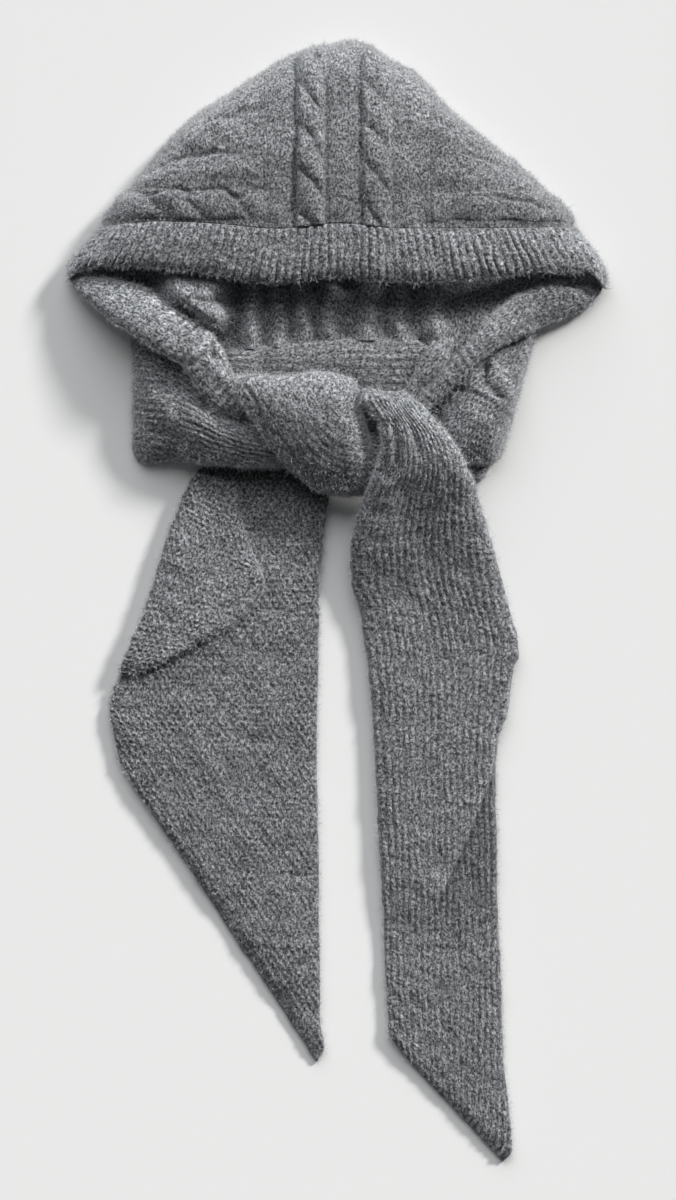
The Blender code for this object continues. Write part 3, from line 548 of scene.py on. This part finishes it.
def turned_layer(x, y):
    """The step down from the right end's turned-over layer, which sinks in at its tip."""
    edge, last = edge_x(TURN_EDGE, y), TURN_EDGE[-1].y
    left_of_edge = ease((edge - x) / TURN_SOFTNESS + 0.5)
    return TURN_HEIGHT * left_of_edge * ease((y - last) / TURN_FADE)


# Knit: across counts millimetres over the ribs, along follows them. Every pattern is
# drawn a little out of line, and ribs and bumps fade where the wool is matted.

def rib_stitches(across, along, pitch, height, seed, loops=0.38):
    """Rounded columns of stitches with narrow grooves between them, felted here and there."""
    across = (across + 1.0 * uneven(across, along, 13.0, seed)
              + 0.4 * uneven(across, along, 4.0, seed))
    column = np.floor(across / pitch)
    side = np.abs(across / pitch - column - 0.5) * 2
    rib = 1 - side ** 2.2
    start = np.sin(column * 12.9898) * 43.7     # puts each column's stitches out of step
    step = along / STITCH + start + 0.35 * uneven(across, along, 7.0, seed + 1)
    loop = 0.5 + 0.5 * np.cos(2 * pi * step + 1.6 * side)
    matted = 0.68 + 0.52 * uneven(across, along, 11.0, seed + 2)
    return height * rib * (1 - loops + loops * loop) * np.clip(matted, 0.12, 1.1)


def purl_stitches(across, along, pitch, height, seed):
    """Staggered small bumps, the other side of the ribs."""
    across = (across + 0.9 * uneven(across, along, 12.0, seed)
              + 0.3 * uneven(across, along, 3.5, seed))
    along = along + 1.0 * uneven(across, along, 11.0, seed + 1)
    row = np.floor(along / STITCH)
    bump = 0.5 + 0.5 * np.cos(2 * pi * (across / pitch + 0.5 * (row % 2)))
    loop = 0.5 + 0.5 * np.cos(2 * pi * along / STITCH)
    matted = 0.75 + 0.40 * uneven(across, along, 12.0, seed + 2)
    return height * (0.30 * bump + 0.70 * bump * loop) * matted


def plain_stitches(across, along, pitch, height, seed):
    """Faint columns of a felted plain knit."""
    across = across + 0.5 * uneven(across, along, 12.0, seed)
    side = 0.5 + 0.5 * np.cos(2 * pi * across / pitch)
    loop = 0.5 + 0.5 * np.cos(2 * pi * (along + 0.3 * pitch * side) / STITCH)
    return height * (0.5 * side + 0.5 * side * loop)


def cheek_ribs(across, along):
    """The face band's ribs, which run across each cheek."""
    return rib_stitches(along, across, BAND_RIB, height=1.3, seed=65)


band_ribs = partial(rib_stitches, pitch=BAND_RIB, height=2.1, seed=61, loops=0.20)
scarf_ribs = partial(rib_stitches, pitch=RIB, height=1.6, seed=62, loops=0.28)
tail_ribs = partial(rib_stitches, pitch=RIB, height=1.6, seed=66, loops=0.28)
knot_ribs = partial(rib_stitches, pitch=RIB, height=0.8, seed=67)
scarf_back = partial(purl_stitches, pitch=RIB, height=1.6, seed=63)
hood_knit = partial(plain_stitches, pitch=4.6, height=0.10, seed=64)


def felted(across, along):
    """The uneven, matted surface of washed wool."""
    return 0.45 * uneven(across, along, 6.5, 41) + 0.34 * uneven(across, along, 2.6, 42)


# Meshes

def normals_of(points):
    along = np.gradient(points, axis=0)
    across = np.gradient(points, axis=1)
    normal = np.cross(along, across)
    normal /= np.maximum(np.linalg.norm(normal, axis=2, keepdims=True), 1e-9)
    return normal if normal[..., 2].mean() > 0 else -normal


def counted(length, spacing=GRID):
    """How many points a length takes, as a whole number of underside steps and one."""
    return LOW_STEP * max(1, round(length / spacing / LOW_STEP)) + 1


def quads(grid, reverse):
    corners = [grid[:-1, :-1], grid[1:, :-1], grid[1:, 1:], grid[:-1, 1:]]
    if reverse:
        corners.reverse()
    return np.stack([c.ravel() for c in corners], axis=1).tolist()


def rim_faces(index, low):
    """One face for each underside step, joined to all the upper points beside it."""
    rims = []
    for r in range(low.shape[0] - 1):
        run = slice(r * LOW_STEP, (r + 1) * LOW_STEP + 1)
        rims.append(list(index[run, 0][::-1]) + [low[r, 0], low[r + 1, 0]])
        rims.append(list(index[run, -1]) + [low[r + 1, -1], low[r, -1]])
    for c in range(low.shape[1] - 1):
        run = slice(c * LOW_STEP, (c + 1) * LOW_STEP + 1)
        rims.append(list(index[0, run]) + [low[0, c + 1], low[0, c]])
        rims.append(list(index[-1, run][::-1]) + [low[-1, c], low[-1, c + 1]])
    return rims


def new_object(name, data):
    made = bpy.data.objects.new(name, data)
    bpy.context.scene.collection.objects.link(made)
    return made


def cloth(name, outer, inner, across, along, painted_shading):
    """Close the stitched surface with a plain underside and keep its knit coordinates."""
    rows, columns = outer.shape[:2]
    low_points = inner[::LOW_STEP, ::LOW_STEP]
    low_rows, low_columns = low_points.shape[:2]
    points = np.concatenate([outer.reshape(-1, 3), low_points.reshape(-1, 3)]) * MM

    index = np.arange(rows * columns).reshape(rows, columns)
    low = rows * columns + np.arange(low_rows * low_columns).reshape(low_rows, low_columns)
    turn = np.cross(np.diff(outer, axis=0)[:, :-1], np.diff(outer, axis=1)[:-1])
    flip = turn[..., 2].mean() < 0
    faces = quads(index, flip) + quads(low, not flip)
    faces += [[int(i) for i in (rim[::-1] if flip else rim)] for rim in rim_faces(index, low)]

    mesh = bpy.data.meshes.new(name)
    mesh.from_pydata(points.tolist(), [], faces)
    mesh.shade_smooth()
    knit = np.stack([across, along], axis=-1)
    knit = np.concatenate([knit.reshape(-1, 2), knit[::LOW_STEP, ::LOW_STEP].reshape(-1, 2)])
    corner = np.empty(len(mesh.loops), dtype=np.int32)
    mesh.loops.foreach_get("vertex_index", corner)
    layer = mesh.uv_layers.new(name="knit")
    layer.data.foreach_set("uv", (knit[corner] * MM * KNIT_SCALE).ravel().astype(np.float32))
    # the painted shade and light of each point, for the wool to darken or lighten it
    depth = mesh.attributes.new("painted_shading", "FLOAT", "POINT")
    values = np.concatenate([painted_shading.ravel(), np.zeros(low_points[..., 0].size)])
    depth.data.foreach_set("value", values.astype(np.float32))
    return new_object(name, mesh)


def spread(height, reach):
    """The mean height around each point, over a square of that many points to each side."""
    for axis in (0, 1):
        margins = [(reach + 1, reach) if a == axis else (0, 0) for a in (0, 1)]
        total = np.cumsum(np.pad(height, margins, "edge"), axis=axis)
        size = height.shape[axis]
        upper = np.take(total, range(2 * reach + 1, 2 * reach + 1 + size), axis=axis)
        lower = np.take(total, range(size), axis=axis)
        height = (upper - lower) / (2 * reach + 1)
    return height


def stitched(surface, across, along, knit, folds, fade, slope_light=PAINTED_SLOPE_LIGHT):
    """Raise folds, stitches and felt out of a smooth surface, and give each point its painted
    shade and light.
    """
    outward = normals_of(surface)
    stitches = knit(across, along)
    # painted shade in the hollows between stitches and between folds
    deep = (STITCH_SHADE * (spread(stitches, 2) - stitches)
            + FOLD_SHADE * (spread(folds, 5) - folds))
    # painted light on slopes that face +Y, painted shade on those that face -Y
    deep = deep - slope_light * outward[..., 1]
    raised = (folds + stitches + felted(across, along)) * fade
    return surface + outward * raised[..., None], outward, deep


def evened(count):
    """Columns spread evenly, a little closer at the two edges."""
    share = np.linspace(0, 1, count)
    return 0.8 * share + 0.2 * (0.5 - 0.5 * np.cos(pi * share))


def frayed(run, fine_share, fine_size, fine_seed, coarse_seed):
    """How far a cloth edge strays from its line, along its run."""
    return (fine_share * uneven(run, run * 0, fine_size, fine_seed)
            + uneven(run, run * 0, 13.0, coarse_seed))


class Strip(NamedTuple):
    """A stretch of cloth: its form, its knit, and what it stands for."""
    name: str
    sections: list
    width: float                # how wide its knit is
    fullness: float             # how flat it is between its edges
    knit: object
    wool: str
    node: str
    slot: str
    cut: Cut
    anchor: float = 0.5         # where its ribs are counted from, between its two edges
    gather: float = 0.0         # how far its ribs draw together where it is narrow
    under_fullness: float = 4.0     # the same for its underside
    ragged: float = 0.8         # how far its edges stray
    slope_light: float = PAINTED_SLOPE_LIGHT
    covered: float = 0.0        # painted shadow: how much darker it is beneath the neck wrap
    upright: bool = False       # its rows stay level, whichever way it runs
    turned: bool = False        # it has the turned-over layer of the right tail
    held: str = "folded"


def stretch(strip):
    """A stretch of cloth lofted through its sections, with knit relief on top."""
    sections = strip.sections
    middle = np.array([((s.left_x + s.right_x) / 2, (s.left_y + s.right_y) / 2)
                       for s in sections])
    knots = np.concatenate([[0], np.cumsum(np.linalg.norm(np.diff(middle, axis=0), axis=1))])
    length = knots[-1]
    at = np.linspace(0, length, counted(length))
    loft = Section(*(curve_through(knots, column, at)[:, None] for column in zip(*sections)))
    v = evened(counted(strip.width))[None, :]
    along = at[:, None] + 0 * v

    left = strip.ragged * frayed(along, 0.6, 4.2, 1, 2)
    right = strip.ragged * frayed(along, 0.6, 4.2, 3, 4)
    run_x, run_y = loft.right_x - loft.left_x, loft.right_y - loft.left_y
    span = np.hypot(run_x, run_y)
    across = (v - strip.anchor) * (strip.gather * strip.width + (1 - strip.gather) * span)
    moved = v + left / span * (1 - v) ** 6 + right / span * v ** 6
    x = loft.left_x + run_x * moved
    y = loft.left_y + run_y * moved
    wave = END_WAVE * strip.ragged * frayed(span * v, 0.5, 4.5, 8, 7)
    for ahead, weight in ((middle[1] - middle[0], (1 - at / length) ** 8),
                          (middle[-1] - middle[-2], (at / length) ** 8)):
        ahead = ahead / np.linalg.norm(ahead)
        x = x + ahead[0] * wave * weight[:, None]
        y = y + ahead[1] * wave * weight[:, None]
    if strip.upright:
        across, along = x, y

    edge = loft.left_z + (loft.right_z - loft.left_z) * v
    body = dome(v, strip.fullness) + 0 * x
    bumps = SWELL * (uneven(x, y, 26.0, 5) + 0.5 * uneven(x, y, 12.0, 6))
    z = edge + RIM / 2 + loft.crown * body + bumps * body * ease(loft.crown / 3)
    surface = np.stack([x, y, z], axis=-1)
    fade = (np.minimum(body * 1.3, 1.0) * ease(at[:, None] / 2 + 0.2)
            * ease((length - at[:, None]) / 2 + 0.2))
    step = turned_layer(x, y) if strip.turned else 0 * x
    raised = ridge_relief(FOLDS.get(strip.name, []), x, y) + step
    outer, outward, painted_shading = stitched(surface, across, along, strip.knit, raised, fade, strip.slope_light)
    if strip.turned:
        painted_shading = painted_shading + LOWER_SHADE * (step.max(axis=1, keepdims=True) - step) / TURN_HEIGHT
        # painted light on the right tail's shoulder
        painted_shading = painted_shading - SHOULDER_PAINTED_LIGHT * ease((y - SHOULDER_FROM) / SHOULDER_RUN)
    # painted shadow beneath the neck wrap
    painted_shading = painted_shading + strip.covered * ease((y - COVERED_FROM) / COVERED_RUN)
    low = edge - RIM / 2 + (loft.under - edge + RIM / 2) * dome(v, strip.under_fullness)
    inner = np.stack([x, y, np.maximum(low, 0) + 0 * x], axis=-1)
    outer[..., 2] = np.maximum(outer[..., 2], inner[..., 2] + THINNEST)
    return Made(cloth(strip.name, outer, inner, across, along, painted_shading), outer, outward)


def hood_rise(share):
    return HOOD_HEIGHT * dome(share, HOOD_ROUNDNESS)


def hood_panel(name, start_x, end_x):
    """A panel of the hood's front layer."""
    left, right = BAND_SEAM[0].x, BAND_SEAM[-1].x
    rows, columns = counted(HOOD_LENGTH), counted(abs(end_x - start_x))
    climb = 1 - (1 - np.linspace(0, 1, rows)) ** 1.5
    x, climb = np.meshgrid(np.linspace(start_x, end_x, columns), climb)
    seam, outline = edge_y(BAND_SEAM, x), edge_y(HOOD_OUTLINE, x)
    outline = outline + 0.7 * uneven(x, x * 0, 9.0, 21) + 0.5 * uneven(x, x * 0, 3.6, 22)
    y = seam + (outline - seam) * climb
    z = hood_rise((x - left) / (right - left)) * (1 - climb ** CROWN_FALL) ** (1 / CROWN_FALL)
    sag = 1.6 * uneven(x, y, 34.0, 23) + 0.7 * uneven(x, y, 15.0, 24)
    surface = np.stack([x, y, z + sag * ease((1 - climb) / 0.2)], axis=-1)
    fade = ease((1 - climb) / 0.06)
    outer, outward, painted_shading = stitched(surface, x, y, hood_knit, hood_folds(x, y), fade, HOOD_SLOPE_LIGHT)
    # painted highlight towards the hood's outline
    painted_shading = painted_shading - OUTLINE_PAINTED_HIGHLIGHT * ease((climb - 0.80) / 0.20)
    inner = surface - outward * WALL
    inner[-1] = surface[-1] - np.array([0, WALL, 0])
    outer[..., 2] = np.maximum(outer[..., 2], 0)
    inner[..., 2] = np.maximum(inner[..., 2], 0)
    return Made(cloth(name, outer, inner, x, y, painted_shading), outer, outward)


def back_layer():
    """The hood's back layer, whose ridges show in the face opening."""
    rows, columns = counted(BACK_LENGTH), counted(BACK_WIDTH, BACK_GRID)
    low_y = BACK_LEFT[-1].y
    climb = np.linspace(0, 1, rows) ** 1.5
    y_line = low_y + (BACK_TOP - low_y) * climb
    outline_x = np.array([p.x for p in HOOD_OUTLINE])
    outline_y = np.array([p.y for p in HOOD_OUTLINE])
    peak = int(np.argmax(outline_y))
    left = curve_through(outline_y[:peak + 1], outline_x[:peak + 1], y_line) + BACK_INSET
    right = curve_through(outline_y[peak:][::-1], outline_x[peak:][::-1], y_line) - BACK_INSET
    left = np.where(y_line < BACK_LEFT[0].y, edge_x(BACK_LEFT, y_line), left)
    right = np.where(y_line < BACK_RIGHT[0].y, edge_x(BACK_RIGHT, y_line), right)
    share = np.linspace(0, 1, columns)[None, :]
    x = left[:, None] + (right - left)[:, None] * share
    y = y_line[:, None] + (edge_y(BACK_LOW, x) - BACK_TUCK - low_y) * (1 - climb[:, None]) ** 4
    edge = dome(share, 8.0) + 0 * x
    lumps = 1 + 0.28 * uneven(x, y, 9.0, 51)
    turned_in = TURNED_IN_TOP * np.tanh(ridge_relief(TURNED_IN_SIDE, x, y) / TURNED_IN_TOP)
    relief = np.maximum(ridge_relief(BACK_RIDGES, x, y) * lumps, turned_in)
    lifted = BACK_LIFT * ease((BACK_LIFT_FROM - y) / BACK_LIFT_RUN)
    z = RIM + (BACK_HEIGHT - RIM) * edge + (relief + lifted) * edge
    surface = np.stack([x, y, z], axis=-1)
    outer, outward, painted_shading = stitched(surface, x, y, hood_knit, 0 * x, edge)
    # painted shade between the ridges and on the turned-in side
    painted_shading = painted_shading + RIDGE_SHADE * (spread(relief, 6) - relief)
    painted_shading = painted_shading + TURNED_IN_SHADE * turned_in / TURNED_IN_TOP
    inner = np.stack([x, y, 0 * z], axis=-1)
    outer[..., 2] = np.maximum(outer[..., 2], THINNEST)
    return Made(cloth("back_layer_wool", outer, inner, x, y, painted_shading), outer, outward)


def face_band():
    """Ribbed band over the face opening: its free edge rolls under."""
    rows, columns = counted(BAND_GIRTH), counted(BAND_LENGTH, BAND_GRID)
    share, drop = np.meshgrid(np.linspace(0, 1, columns), np.linspace(0, 1, rows))
    seam_x = BAND_SEAM[0].x + (BAND_SEAM[-1].x - BAND_SEAM[0].x) * share
    free_x = BAND_EDGE[0].x + (BAND_EDGE[-1].x - BAND_EDGE[0].x) * share
    seam_y, free_y = edge_y(BAND_SEAM, seam_x) - BAND_GAP, edge_y(BAND_EDGE, free_x)
    free_y = free_y + 0.6 * uneven(free_x, free_x * 0, 6.0, 31)
    corner = 1 - ease(share / CORNER) * ease((1 - share) / CORNER)
    free_y = free_y - np.where(share < 0.5, *CORNER_FALL) * corner
    bulge = CORNER_BULGE * np.sin(pi * drop ** 1.8) * corner
    x = seam_x + (free_x - seam_x) * drop + np.where(share < 0.5, -bulge, bulge)
    y = seam_y + (free_y - seam_y) * drop
    roll = 1 - np.sqrt(1 - np.clip((drop - 0.8) / 0.2, 0, 1) ** 2 * 0.96)
    ends = ease(share / 0.05) * ease((1 - share) / 0.05)
    shape = BAND_STAND * dome(drop, 3.0) - BAND_DROP * drop ** 3 - BAND_ROLL * roll
    z = BAND_END + (1 - BAND_END / HOOD_HEIGHT) * hood_rise(share) + shape * ends
    z = z + 0.9 * uneven(x, y, 30.0, 32) * ends
    surface = np.stack([x, y, z], axis=-1)
    across, along = share * BAND_LENGTH, drop * BAND_DEPTH
    fade = ease(0.25 + drop / 0.1)
    outer, outward, painted_shading = stitched(surface, across, along, band_ribs, 0 * x, fade)
    # painted shade along the seam
    painted_shading = painted_shading + SEAM_SHADE * ease(1 - drop / 0.08)
    inner = surface - outward * (BAND_WALL * (0.3 + 0.7 * ends))[..., None]
    inner[..., 2] = np.maximum(inner[..., 2], BAND_CLEAR)
    return Made(cloth("face_band_wool", outer, inner, across, along, painted_shading), outer, outward)


# Wool

class NodeKit:
    """Short ways to add the nodes that the materials share."""

    def __init__(self, name):
        self.material = bpy.data.materials.new(name)
        self.material.use_nodes = True
        self.nodes, self.links = self.material.node_tree.nodes, self.material.node_tree.links
        self.shader = self.nodes["Principled BSDF"]

    def noise(self, source, scale, detail=2.0, rough=0.5):
        texture = self.nodes.new("ShaderNodeTexNoise")
        texture.inputs["Scale"].default_value = scale
        texture.inputs["Detail"].default_value = detail
        texture.inputs["Roughness"].default_value = rough
        self.links.new(source, texture.inputs["Vector"])
        return texture.outputs["Fac"]

    def math(self, kind, *values):
        node = self.nodes.new("ShaderNodeMath")
        node.operation = kind
        for socket, value in zip(node.inputs, values):
            if isinstance(value, (int, float)):
                socket.default_value = value
            else:
                self.links.new(value, socket)
        return node.outputs["Value"]

    def varied(self, source, low, gain):
        """A factor that follows the source: low where that is 0, and gain more where it is 1."""
        return self.math("ADD", low, self.math("MULTIPLY", source, gain))

    def ramp(self, source, dark_at, dark, light_at, light):
        node = self.nodes.new("ShaderNodeValToRGB")
        ends = node.color_ramp.elements
        ends[0].position, ends[0].color = dark_at, (*dark, 1)
        ends[1].position, ends[1].color = light_at, (*light, 1)
        self.links.new(source, node.inputs["Fac"])
        return node.outputs["Color"]


def wool(name, lightness):
    """Grey wool spun from light and dark fibres, matted on the surface."""
    kit = NodeKit(name)
    shader = kit.shader
    shader.inputs["Roughness"].default_value = 0.95
    shader.inputs["Specular IOR Level"].default_value = 0.15
    shader.inputs["Sheen Weight"].default_value = 0.50
    shader.inputs["Sheen Roughness"].default_value = 0.55
    shader.inputs["Sheen Tint"].default_value = (0.80, 0.82, 0.86, 1.0)

    knit = kit.nodes.new("ShaderNodeUVMap")
    knit.uv_map = "knit"
    along_ribs = kit.nodes.new("ShaderNodeMapping")
    along_ribs.inputs["Scale"].default_value = (1.0, 0.55, 1.0)
    kit.links.new(knit.outputs["UV"], along_ribs.inputs["Vector"])
    place = kit.nodes.new("ShaderNodeTexCoord").outputs["Object"]
    fibres = kit.noise(along_ribs.outputs["Vector"], 70.0, rough=0.7)
    specks = kit.noise(place, 700.0, rough=0.7)
    clumps = kit.noise(place, 330.0, detail=3.0, rough=0.6)
    patches = kit.noise(place, 28.0)
    tufts = kit.noise(place, 170.0)
    mixed = kit.math("ADD", kit.math("MULTIPLY", fibres, 0.5), kit.math("MULTIPLY", specks, 0.5))

    dark, light = DARK_FIBRE * lightness, LIGHT_FIBRE * lightness
    colour = kit.ramp(mixed, 0.415, (dark * 0.97, dark, dark * 1.05),
                      0.600, (light * 0.97, light, light * 1.04))

    # painted shade and light of each point, then random tone from patches, tufts and clumps
    painted_shading = kit.nodes.new("ShaderNodeAttribute")
    painted_shading.attribute_name = "painted_shading"
    shade = kit.math("SUBTRACT", 1.0, kit.math("MULTIPLY", painted_shading.outputs["Fac"], PAINTED_SHADING_STRENGTH))
    shade = kit.math("MINIMUM", kit.math("MAXIMUM", shade, 0.22), 1.5)
    for source, low, gain in ((patches, 0.58, 0.30), (tufts, 0.65, 0.70), (clumps, -0.10, 2.20)):
        shade = kit.math("MULTIPLY", shade, kit.varied(source, low, gain))
    tint = kit.nodes.new("ShaderNodeVectorMath")
    tint.operation = "SCALE"
    kit.links.new(colour, tint.inputs[0])
    kit.links.new(shade, tint.inputs["Scale"])
    kit.links.new(tint.outputs["Vector"], shader.inputs["Base Color"])

    bump = kit.nodes.new("ShaderNodeBump")
    bump.inputs["Strength"].default_value = 0.8
    bump.inputs["Distance"].default_value = 0.0007
    kit.links.new(mixed, bump.inputs["Height"])
    kit.links.new(bump.outputs["Normal"], shader.inputs["Normal"])
    return kit.material


# The garment: a cut gives the width and length of what shows of a piece, laid flat in
# metres, and the share of them that it fills

HOOD_PANELS = [
    Panel("hood_left_wool", BAND_SEAM[0].x + PANEL_INSET, CENTRE_LEFT,
          "hood_left_panel", "hood_wool", Cut(0.130, 0.120, 0.68)),
    Panel("hood_centre_wool", CENTRE_LEFT, CENTRE_RIGHT,
          "hood_centre_panel", "hood_wool", Cut(0.118, 0.165, 0.89)),
    Panel("hood_right_wool", CENTRE_RIGHT, BAND_SEAM[-1].x - PANEL_INSET,
          "hood_right_panel", "hood_right_wool", Cut(0.115, 0.110, 0.67)),
]
STRIPS = [
    Strip("cheek_left_wool", CHEEK_LEFT, 30.0, 2.6, cheek_ribs, "cheek_left_wool",
          "face_band_left", "face_band_wool", Cut(0.038, 0.145, 0.95), gather=1.0),
    Strip("cheek_right_wool", CHEEK_RIGHT, 26.0, 2.6, cheek_ribs, "cheek_right_wool",
          "face_band_right", "face_band_wool", Cut(0.031, 0.145, 0.93), gather=1.0),
    Strip("neck_inner_wool", COLLAR, 50.0, 3.2, scarf_ribs, "collar_wool",
          "neck_band_inner", "neck_wool", Cut(0.075, 0.160, 0.95), gather=0.7),
    Strip("neck_fold_wool", COLLAR_FOLD, 16.0, 2.6, scarf_ribs, "scarf_wool",
          "neck_band_fold", "neck_wool", Cut(0.020, 0.050, 0.95), gather=0.5),
    Strip("neck_left_wool", WRAP_LEFT, 90.0, 2.0, scarf_ribs, "scarf_wool",
          "neck_wrap_left", "neck_wool", Cut(0.100, 0.120, 0.85), gather=0.5,
          under_fullness=1.6),
    Strip("neck_right_wool", WRAP_RIGHT, 90.0, 2.0, scarf_back, "scarf_wool",
          "neck_wrap_right", "neck_wool", Cut(0.100, 0.090, 0.80), gather=0.3,
          under_fullness=1.6),
    Strip("neck_right_under_wool", WRAP_RIGHT_UNDER, 16.0, 3.0, scarf_back, "scarf_wool",
          "neck_wrap_right_under", "neck_wool", Cut(0.018, 0.030, 0.80)),
    Strip("knot_wool", KNOT, 80.0, 1.75, knot_ribs, "scarf_wool",
          "scarf_knot", "knot_wool", Cut(0.085, 0.120, 0.92), anchor=0.0, slope_light=KNOT_SLOPE_LIGHT),
    Strip("left_tail_wool", TAIL_LEFT, 150.0, 9.0, scarf_back, "tail_wool",
          "scarf_left_tail", "left_tail_wool", Cut(0.145, 0.400, 0.76), anchor=1.0,
          ragged=0.5, covered=0.80, upright=True),
    Strip("left_flap_wool", FLAP_LEFT, 62.0, 5.0, scarf_back, "flap_wool",
          "scarf_left_flap", "left_tail_wool", Cut(0.062, 0.150, 0.93), anchor=0.0,
          covered=0.60),
    Strip("right_tail_wool", TAIL_RIGHT, 96.0, 6.0, tail_ribs, "tail_wool",
          "scarf_right_tail", "right_tail_wool", Cut(0.095, 0.540, 0.90), anchor=0.0,
          gather=0.6, ragged=0.45, turned=True, held="laid"),
]


def finish_piece(made, material, node):
    """Give a piece its wool and its place in the garment."""
    piece = made.piece
    piece.data.materials.append(material)
    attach(piece, "root")
    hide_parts(node)
    return made


def make_garment():
    """Dress every node of the part; the result is for the loose fibres."""
    wools = {name: wool(name, lightness) for name, lightness in LIGHTNESS.items()}
    garment = [
        finish_piece(hood_panel(panel.name, panel.start_x, panel.end_x), wools[panel.wool],
                     panel.node)
        for panel in HOOD_PANELS]
    garment.append(finish_piece(back_layer(), wools["inside_wool"], "hood_back_panel"))
    garment.append(finish_piece(face_band(), wools["band_wool"], "face_band_top"))
    garment += [
        finish_piece(stretch(strip), wools[strip.wool], strip.node)
        for strip in STRIPS]
    return garment


# Loose fibres

def unit(vectors, smallest=0.0):
    return vectors / np.maximum(np.linalg.norm(vectors, axis=1, keepdims=True), smallest)


def loose_fibres(garment, strands, seed):
    """Fine hairs that stand off the wool, most of them along its edges."""
    rng = np.random.RandomState(seed)
    points = np.concatenate([made.points.reshape(-1, 3) for made in garment])
    normals = np.concatenate([made.normals.reshape(-1, 3) for made in garment])
    steep = 1 - np.clip(normals[:, 2], 0, 1)
    chance = np.cumsum(FIBRES_ON_TOP + 2 * steep ** 2)
    picked = np.searchsorted(chance, rng.rand(strands) * chance[-1])
    root, out = points[picked], normals[picked]
    loose = rng.normal(size=(strands, 3))
    loose[:, 2] *= 0.5
    lean = unit(0.8 * out + loose * 0.9)
    bend = unit(lean + rng.normal(size=(strands, 3)) * 0.5)
    length = rng.gamma(4.0, FIBRE_LENGTH / 4, strands)[:, None] + FIBRE_SHORTEST
    middle = root + lean * length * 0.5
    tip = middle + bend * length * 0.5
    side = unit(np.cross(lean, [0, 0, 1.0]), 1e-6) * FIBRE_HALF
    points = np.stack([root - side, root + side, middle + side, middle - side, tip], axis=1)
    points[..., 2] = np.maximum(points[..., 2], FIBRE_LOW)
    base = np.arange(strands)[:, None] * 5
    faces = np.concatenate([base + np.array(corners)
                            for corners in ([0, 1, 2], [0, 2, 3], [3, 2, 4])])
    mesh = bpy.data.meshes.new("loose_fibres")
    mesh.from_pydata((points.reshape(-1, 3) * MM).tolist(), [], faces.tolist())
    mesh.shade_smooth()
    hairs = new_object("loose_fibres", mesh)

    kit = NodeKit("fibre_wool")
    kit.shader.inputs["Roughness"].default_value = 0.9
    specks = kit.noise(kit.nodes.new("ShaderNodeTexCoord").outputs["Object"], 700.0)
    # the fibres are lighter than the wool they stray from: painted sheen on the fuzz
    colour = kit.ramp(specks, 0.4, (0.28, 0.285, 0.295), 0.6, (0.72, 0.73, 0.745))
    kit.links.new(colour, kit.shader.inputs["Base Color"])
    mesh.materials.append(kit.material)
    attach(hairs, "root")


# Studio

def make_floor():
    mesh = bpy.data.meshes.new("floor")
    far = FLOOR_REACH
    corners = [(-far, -far, 0), (far, -far, 0), (far, far, 0), (-far, far, 0)]
    mesh.from_pydata(corners, [], [(0, 1, 2, 3)])
    floor = new_object("floor", mesh)
    floor.location.z = FLOOR_Z
    kit = NodeKit("floor_paper")
    kit.shader.inputs["Base Color"].default_value = (0.80, 0.80, 0.795, 1)
    kit.shader.inputs["Roughness"].default_value = 0.95
    kit.shader.inputs["Specular IOR Level"].default_value = 0.0
    mesh.materials.append(kit.material)


def add_sun(name, energy, turn, climb, softness, colour):
    """A sun that shines from the turn and climb given in degrees."""
    lamp = bpy.data.lights.new(name, "SUN")
    lamp.energy = energy
    lamp.angle = radians(softness)
    lamp.color = colour
    sun = new_object(name, lamp)
    turn, climb = radians(turn), radians(climb)
    towards = Vector((cos(climb) * cos(turn), cos(climb) * sin(turn), sin(climb)))
    sun.rotation_mode = "QUATERNION"
    sun.rotation_quaternion = towards.to_track_quat("Z", "Y")


def make_light():
    world = bpy.data.worlds.new("studio")
    bpy.context.scene.world = world
    world.use_nodes = True
    background = world.node_tree.nodes["Background"]
    background.inputs["Color"].default_value = (0.95, 0.98, 1.0, 1)
    background.inputs["Strength"].default_value = 0.10
    add_sun("window", energy=3.5, turn=42, climb=26, softness=10, colour=(1.0, 0.985, 0.965))
    add_sun("soft_box", energy=2.4, turn=98, climb=36, softness=60, colour=(0.97, 0.985, 1.0))


def make_camera():
    """Look straight down on the garment, framed like the photograph."""
    lens = bpy.data.cameras.new("camera")
    camera = new_object("camera", lens)
    middle_x = (PHOTO_WIDE / 2 - ORIGIN_PX_X) * PHOTO_PX
    middle_y = (ORIGIN_PX_Y - PHOTO_HIGH / 2) * PHOTO_PX
    camera.location = (middle_x * MM, middle_y * MM, CAMERA_HEIGHT)
    lens.lens = lens.sensor_width * CAMERA_HEIGHT / (PHOTO_HIGH * PHOTO_PX * MM)
    lens.clip_end = 50
    bpy.context.scene.camera = camera


bpy.context.scene.view_settings.view_transform = "Standard"
loose_fibres(make_garment(), strands=62000, seed=7)
make_floor()
make_light()
make_camera()
